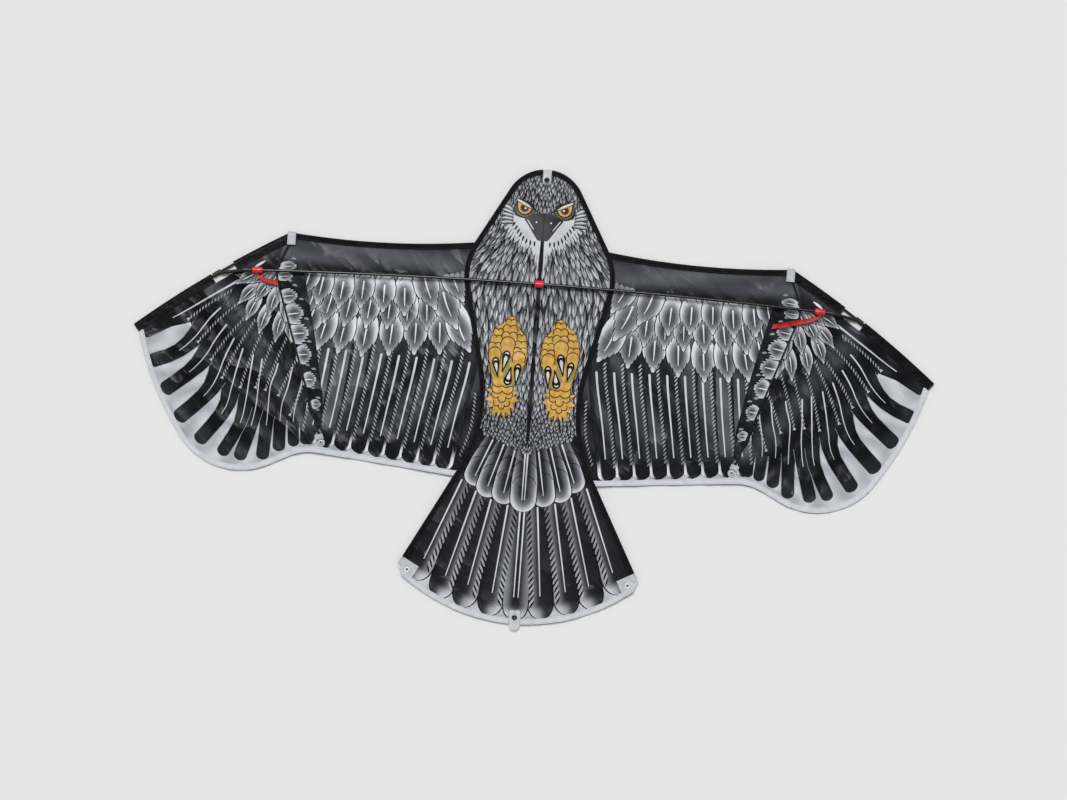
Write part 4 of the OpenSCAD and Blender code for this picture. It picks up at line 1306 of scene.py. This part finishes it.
def soft_piece(node_name, name, spacing, rounds, material, settle=False):
    """A softened copy of a node: its heights from above and below, evened out, on a fine mesh.
    Each point knows its distance to the rim and its place along it, in mm, for the stitches.
    A piece that settles follows the folds of the sail."""
    plan = plan_loops(node_name)
    loops = [resampled(loop, spacing) for loop in plan]
    grid = grid_over(loops, spacing)
    spares = grid[distance_to(grid, tree_of(np.concatenate(loops))) > 0.45 * spacing]
    xy, triangles, _ = triangulated(loops, [], spares)
    _, solid = solid_of(node_name)
    middle = xy.mean(0)
    heights = []
    for way in (-1, 1):
        found = []
        for p in xy:
            inner = (p + RIM_INSET * (middle - p) / np.linalg.norm(middle - p)) * MM
            hit = solid.ray_cast((*inner, -way * RAY_START), (0, 0, way))[0]
            near = hit or solid.find_nearest((*inner, -way * NEAR_START))[0]
            found.append(near.z / MM)
        heights.append(evened(np.array(found), triangles, rounds))
    top, bottom = heights
    lift = ripple(xy) if settle else 0
    out, y = np.abs(xy[:, 0]), xy[:, 1]
    pucker = 0.08 * np.sin(0.31 * out + 0.52 * y + 1.3 * np.sin(0.09 * out))
    pucker += 0.05 * np.sin(0.55 * out + 0.35 * y)
    top = np.maximum(top + pucker, bottom + TAPE_T)
    made = shell(f"{node_name}_{name}", xy, triangles, top + lift, bottom + lift)
    rims = [resampled(loop, STITCH_STEP) for loop in plan]
    runs = np.concatenate([run_lengths(loop) for loop in rims])
    rim_tree = tree_of(np.concatenate(rims))
    nearest = [rim_tree.find((p[0], p[1], 0)) for p in xy]
    for label, values in (("rim", [n[2] for n in nearest]), ("run", [runs[n[1]] for n in nearest])):
        made.data.attributes.new(label, "FLOAT", "POINT")
        made.data.attributes[label].data.foreach_set("value", np.tile(values, 2).astype(np.float32))
    return finished(made, node_name, [material], 60)


for side in SIDES:
    wing = f"{side}_wing"
    sewn_on_wing = [
        soft_piece(f"{side}_top_hem", "tape", 2.6, 2, BLACK_TAPE, settle=True),
        soft_piece(f"{side}_trailing_hem", "tape", 2.6, 2, WHITE_TAPE, settle=True),
        soft_piece(f"{side}_leading_edge_sleeve", "tape", 1.6, 2, SLEEVE_TAPE),
        soft_piece(f"{side}_shoulder_tab", "pocket", 0.9, 4, POCKET_TAPE),
        soft_piece(f"{side}_strut_tab", "pocket", 0.9, 3, POCKET_TAPE),
    ]
    for piece in [*sewn_on_wing, wing_sails[side]]:
        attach(piece, wing)
    sewn_on_body = [
        soft_piece(f"{side}_tail_hem", "tape", 2.6, 2, WHITE_TAPE, settle=True),
        soft_piece(f"{side}_body_binding", "tape", 1.8, 2, BLACK_TAPE),
    ]
    corner = soft_piece(f"{side}_tail_corner_tab", "pocket", 1.2, 2, CLEAR)
    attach(corner, wing)
    for piece in [*sewn_on_body, body_sails[side]]:
        follow_fold(piece)
spine_tape = soft_piece("spine_sleeve", "tape", 1.6, 2, BLACK_TAPE)
head_pocket = soft_piece("head_tab", "pocket", 1.0, 3, CLEAR)
tail_pocket = soft_piece("tail_tab", "pocket", 1.0, 3, CLEAR)
for piece in (spine_tape, head_pocket, tail_pocket):
    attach(piece, "spine")


# Eyelets, stops, connector and ribbons

def applied(made, name, scale):
    made.name = name
    made.scale = scale
    bpy.ops.object.transform_apply(location=True, rotation=True, scale=True)
    return made


def picked(made, wanted):
    """Selects the points of a mesh for which wanted is true, and opens the mesh for editing."""
    bpy.ops.object.mode_set(mode="EDIT")
    bpy.ops.mesh.select_mode(type="VERT")
    bpy.ops.mesh.select_all(action="DESELECT")
    bpy.ops.object.mode_set(mode="OBJECT")
    for v in made.data.vertices:
        v.select = wanted(v.co / MM)
    bpy.ops.object.mode_set(mode="EDIT")


def spun(made):
    """Spins a profile in the XZ plane once round the Z axis."""
    bpy.ops.mesh.select_all(action="SELECT")
    bpy.ops.mesh.delete(type="ONLY_FACE")
    bpy.ops.mesh.select_all(action="SELECT")
    bpy.ops.mesh.spin(steps=36, angle=2 * math.pi, center=(0, 0, 0), axis=(0, 0, 1))
    bpy.ops.mesh.select_all(action="SELECT")
    bpy.ops.mesh.remove_doubles(threshold=0.01 * MM)
    bpy.ops.mesh.normals_make_consistent(inside=False)
    bpy.ops.object.mode_set(mode="OBJECT")
    return made


def tube(name, inner, outer, low, high, corner, round_low=True):
    """A soft tube along the Z axis, with rounded ends. Its low end stays square if it meets another half."""
    bpy.ops.object.select_all(action="DESELECT")
    middle = ((inner + outer) / 2 * MM, 0, (low + high) / 2 * MM)
    bpy.ops.mesh.primitive_plane_add(size=1, location=middle, rotation=(math.pi / 2, 0, 0))
    made = applied(bpy.context.object, name, ((outer - inner) * MM, (high - low) * MM, 1))
    picked(made, lambda p: round_low or p.z > (low + high) / 2)
    bpy.ops.mesh.bevel(offset=corner * MM, segments=4, affect="VERTICES")
    bpy.ops.mesh.select_all(action="SELECT")
    bpy.ops.mesh.subdivide(number_cuts=1)
    return spun(made)


def copied(master, name, matrix):
    made = bpy.data.objects.new(name, master.data.copy())
    made.data.transform(matrix)
    bpy.context.scene.collection.objects.link(made)
    return made


def quarter_turn(axis, sign=1):
    return Matrix.Rotation(sign * math.radians(90), 4, axis)


# Eyelet: its height, radius of its round rim, of the circle that the rim follows, and of its waist, in mm
EYE_HEIGHT = 3.2
EYE_RIM = 1.25
EYE_RING = 2.75
EYE_WAIST = 2.15
bpy.ops.object.select_all(action="DESELECT")
bpy.ops.mesh.primitive_circle_add(vertices=28, radius=EYE_RIM * MM, location=(EYE_RING * MM, 0, 0),
                                  rotation=(math.pi / 2, 0, 0))
eyelet = applied(bpy.context.object, "eyelet", (1, EYE_HEIGHT / (2 * EYE_RIM), 1))
# The outer side of the rim is pressed in to the waist between its two rolled ends
picked(eyelet, lambda p: p.x > 2.2 and abs(p.z) < 0.8)
bpy.ops.transform.resize(value=(0, 1, 1), center_override=(EYE_WAIST * MM, 0, 0))
spun(eyelet)

EYELETS = {"head_eyelet": DARK_EYE, "tail_eyelet": DARK_EYE}
for side in SIDES:
    EYELETS[f"{side}_strut_eyelet"] = WHITE_EYE
    EYELETS[f"{side}_tail_corner_eyelet"] = WHITE_EYE
for name, material in EYELETS.items():
    low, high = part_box(name)
    ring = copied(eyelet, f"{name}_ring", Matrix.Identity(4))
    spread = (high.z - low.z - EYE_HEIGHT * MM) / 2
    for v in ring.data.vertices:
        v.co.z += math.copysign(spread, v.co.z)
    ring.data.transform(Matrix.Translation((low + high) / 2))
    finished(ring, name, [material], 40)
    side = name.split("_")[0]
    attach(ring, f"{side}_wing" if side in SIDES else "spine")
bpy.data.objects.remove(eyelet)

# Stops: the spar's lean where they sit, their radius and half their length, in mm
SPAR_BORE = 2.2
SPAR_LEAN = math.radians(2.77)
STOP_RADIUS = 4.2
STOP_HALF = 7
stop = tube("stop", SPAR_BORE, STOP_RADIUS, -STOP_HALF, STOP_HALF, 0.8)
for side, sign in SIDES.items():
    low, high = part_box(f"{side}_spar_stop")
    lay = Matrix.Rotation(-sign * SPAR_LEAN, 4, "Z") @ quarter_turn("Y")
    sleeve = copied(stop, f"{side}_spar_stop_sleeve", Matrix.Translation((low + high) / 2) @ lay)
    finished(sleeve, f"{side}_spar_stop", [VINYL], 40)
    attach(sleeve, f"{side}_wing")
bpy.data.objects.remove(stop)

# Connector: an arm on each half of the spar, and a saddle round the spine with a stem up to the arms
JOINT = Vector((0, 158, 11.9)) * MM
SPINE_AXIS = Vector((0, 158, 2.2)) * MM
STEM_FOOT = Vector((0, 158, 0)) * MM
half = tube("connector_half", SPAR_BORE, 4.95, 0, 6.15, 1.3, round_low=False)
for side, sign in SIDES.items():
    arm = copied(half, f"{side}_connector_arm", Matrix.Translation(JOINT) @ quarter_turn("Y", sign))
    finished(arm, "centre_connector", [VINYL], 40)
    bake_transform(arm)
bpy.data.objects.remove(half)
saddle = tube("centre_connector_saddle", 1.72, 2.18, -4.5, 4.5, 0.15)
saddle.data.transform(Matrix.Translation(SPINE_AXIS) @ quarter_turn("X"))
stem = tube("stem", 0.4, 1.95, 4.0, 7.4, 0.3)
stem.data.transform(Matrix.Translation(STEM_FOOT))
bpy.ops.object.select_all(action="DESELECT")
stem.select_set(True)
saddle.select_set(True)
bpy.context.view_layer.objects.active = saddle
bpy.ops.object.join()
finished(saddle, "centre_connector", [VINYL], 40)
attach(saddle, "spine")

# Ribbons: tied end of the right one, heading, height, half the thickness and steps of the mesh, in mm
RIBBON_ROOT = np.array([385.0, 141.14])
RIBBON_HEADING = math.radians(15)
RIBBON_HEIGHT = 10.1
RIBBON_HALF_T = 0.11
RIBBON_STEP = 1.5
RIBBON_COLUMNS = 9


def ribbon(side, length):
    """A satin ribbon: narrow where it is tied, wavy, its free end drooping towards the cloth."""
    sign = SIDES[side]
    run = np.array([-math.cos(RIBBON_HEADING), -math.sin(RIBBON_HEADING)])
    rows, columns = int(length / RIBBON_STEP) + 1, RIBBON_COLUMNS
    u = np.linspace(0, length, rows)[:, None] * np.ones(columns)
    v = np.linspace(-1, 1, columns)[None, :] * np.ones((rows, 1))
    half_width = 2.0 + 1.25 * smooth(u / 24) + 0.18 * np.sin(u / 5.0)
    slant = 1.8 * v * smooth((u - length + 6) / 6)
    sway = 1.4 * np.sin(math.pi * u / length) + 0.35 * np.sin(u / 7)
    plan = RIBBON_ROOT + (u + slant)[..., None] * run + (v * half_width + sway)[..., None] * left_of(run)
    droop = 2.6 * smooth((u - 44) / 22)
    waves = 0.30 * np.sin(u / 4.6) + 0.42 * v * np.sin(u / 11 + 0.8) + 0.3 * v * v
    z = (RIBBON_HEIGHT - droop + waves).reshape(-1)
    k = np.arange(rows * columns).reshape(rows, columns)
    first = np.stack([k[:-1, :-1], k[1:, :-1], k[1:, 1:]], axis=2).reshape(-1, 3)
    second = np.stack([k[:-1, :-1], k[1:, 1:], k[:-1, 1:]], axis=2).reshape(-1, 3)
    triangles = np.concatenate([first, second])
    xy = plan.reshape(-1, 2) * np.array([sign, 1])
    if area_of(xy[triangles[0]]) < 0:
        triangles = triangles[:, ::-1]
    strip = shell(f"{side}_ribbon_strip", xy, triangles, z + RIBBON_HALF_T, z - RIBBON_HALF_T)
    finished(strip, f"{side}_ribbon", [SATIN], 60)
    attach(strip, f"{side}_ribbon")


ribbon("right", 65)
ribbon("left", 29.5)


# Materials of the pieces that keep their solid shape

def dress(names, material):
    for name in names:
        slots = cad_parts[name].data.materials
        slots.clear()
        slots.append(material)


def both(kind):
    return [f"{side}_{kind}" for side in SIDES]


dress(["spine", *both("body_edge_rod"), *both("leading_edge_rod"), *both("wing_strut"), *both("spar")], ROD)
dress(both("spar_end_fitting"), NYLON)


# Floor, light and camera, in metres

FLOOR_SIZE = 12
FLOOR_HEIGHT = -0.0005
ROOM_LIGHT = 0.32
WINDOW_LIGHT = 2.36
WINDOW_SPREAD = math.radians(24)
WINDOW_PLACE = (-0.3, 1.12, 2.5)
VIEW_WIDTH = 1.463
VIEW_CENTRE = (0.004, -0.0002)
TURN = math.radians(4.27)
LENS = 70.0
SENSOR = 36.0

bpy.ops.mesh.primitive_plane_add(size=FLOOR_SIZE, location=(0, 0, FLOOR_HEIGHT))
floor = bpy.context.object
floor.name = "floor"
floor.data.materials.append(paper_floor())
floor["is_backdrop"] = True

world = bpy.data.worlds.new("soft_room")
bpy.context.scene.world = world
world.use_nodes = True
world.node_tree.nodes["Background"].inputs["Color"].default_value = (1.0, 1.0, 1.0, 1.0)
world.node_tree.nodes["Background"].inputs["Strength"].default_value = ROOM_LIGHT

window = bpy.data.lights.new("window", "SUN")
window.energy = WINDOW_LIGHT
window.angle = WINDOW_SPREAD
lamp = bpy.data.objects.new("window", window)
lamp.location = WINDOW_PLACE
lamp.rotation_euler = (-lamp.location).to_track_quat("-Z", "Y").to_euler()
bpy.context.scene.collection.objects.link(lamp)

camera_data = bpy.data.cameras.new("camera")
camera_data.lens = LENS
camera_data.sensor_width = SENSOR
camera = bpy.data.objects.new("camera", camera_data)
camera.location = (*VIEW_CENTRE, VIEW_WIDTH * LENS / SENSOR)
camera.rotation_euler = (0, 0, TURN)
bpy.context.scene.collection.objects.link(camera)
bpy.context.scene.camera = camera
bpy.context.scene.view_settings.view_transform = "Standard"

low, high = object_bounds()
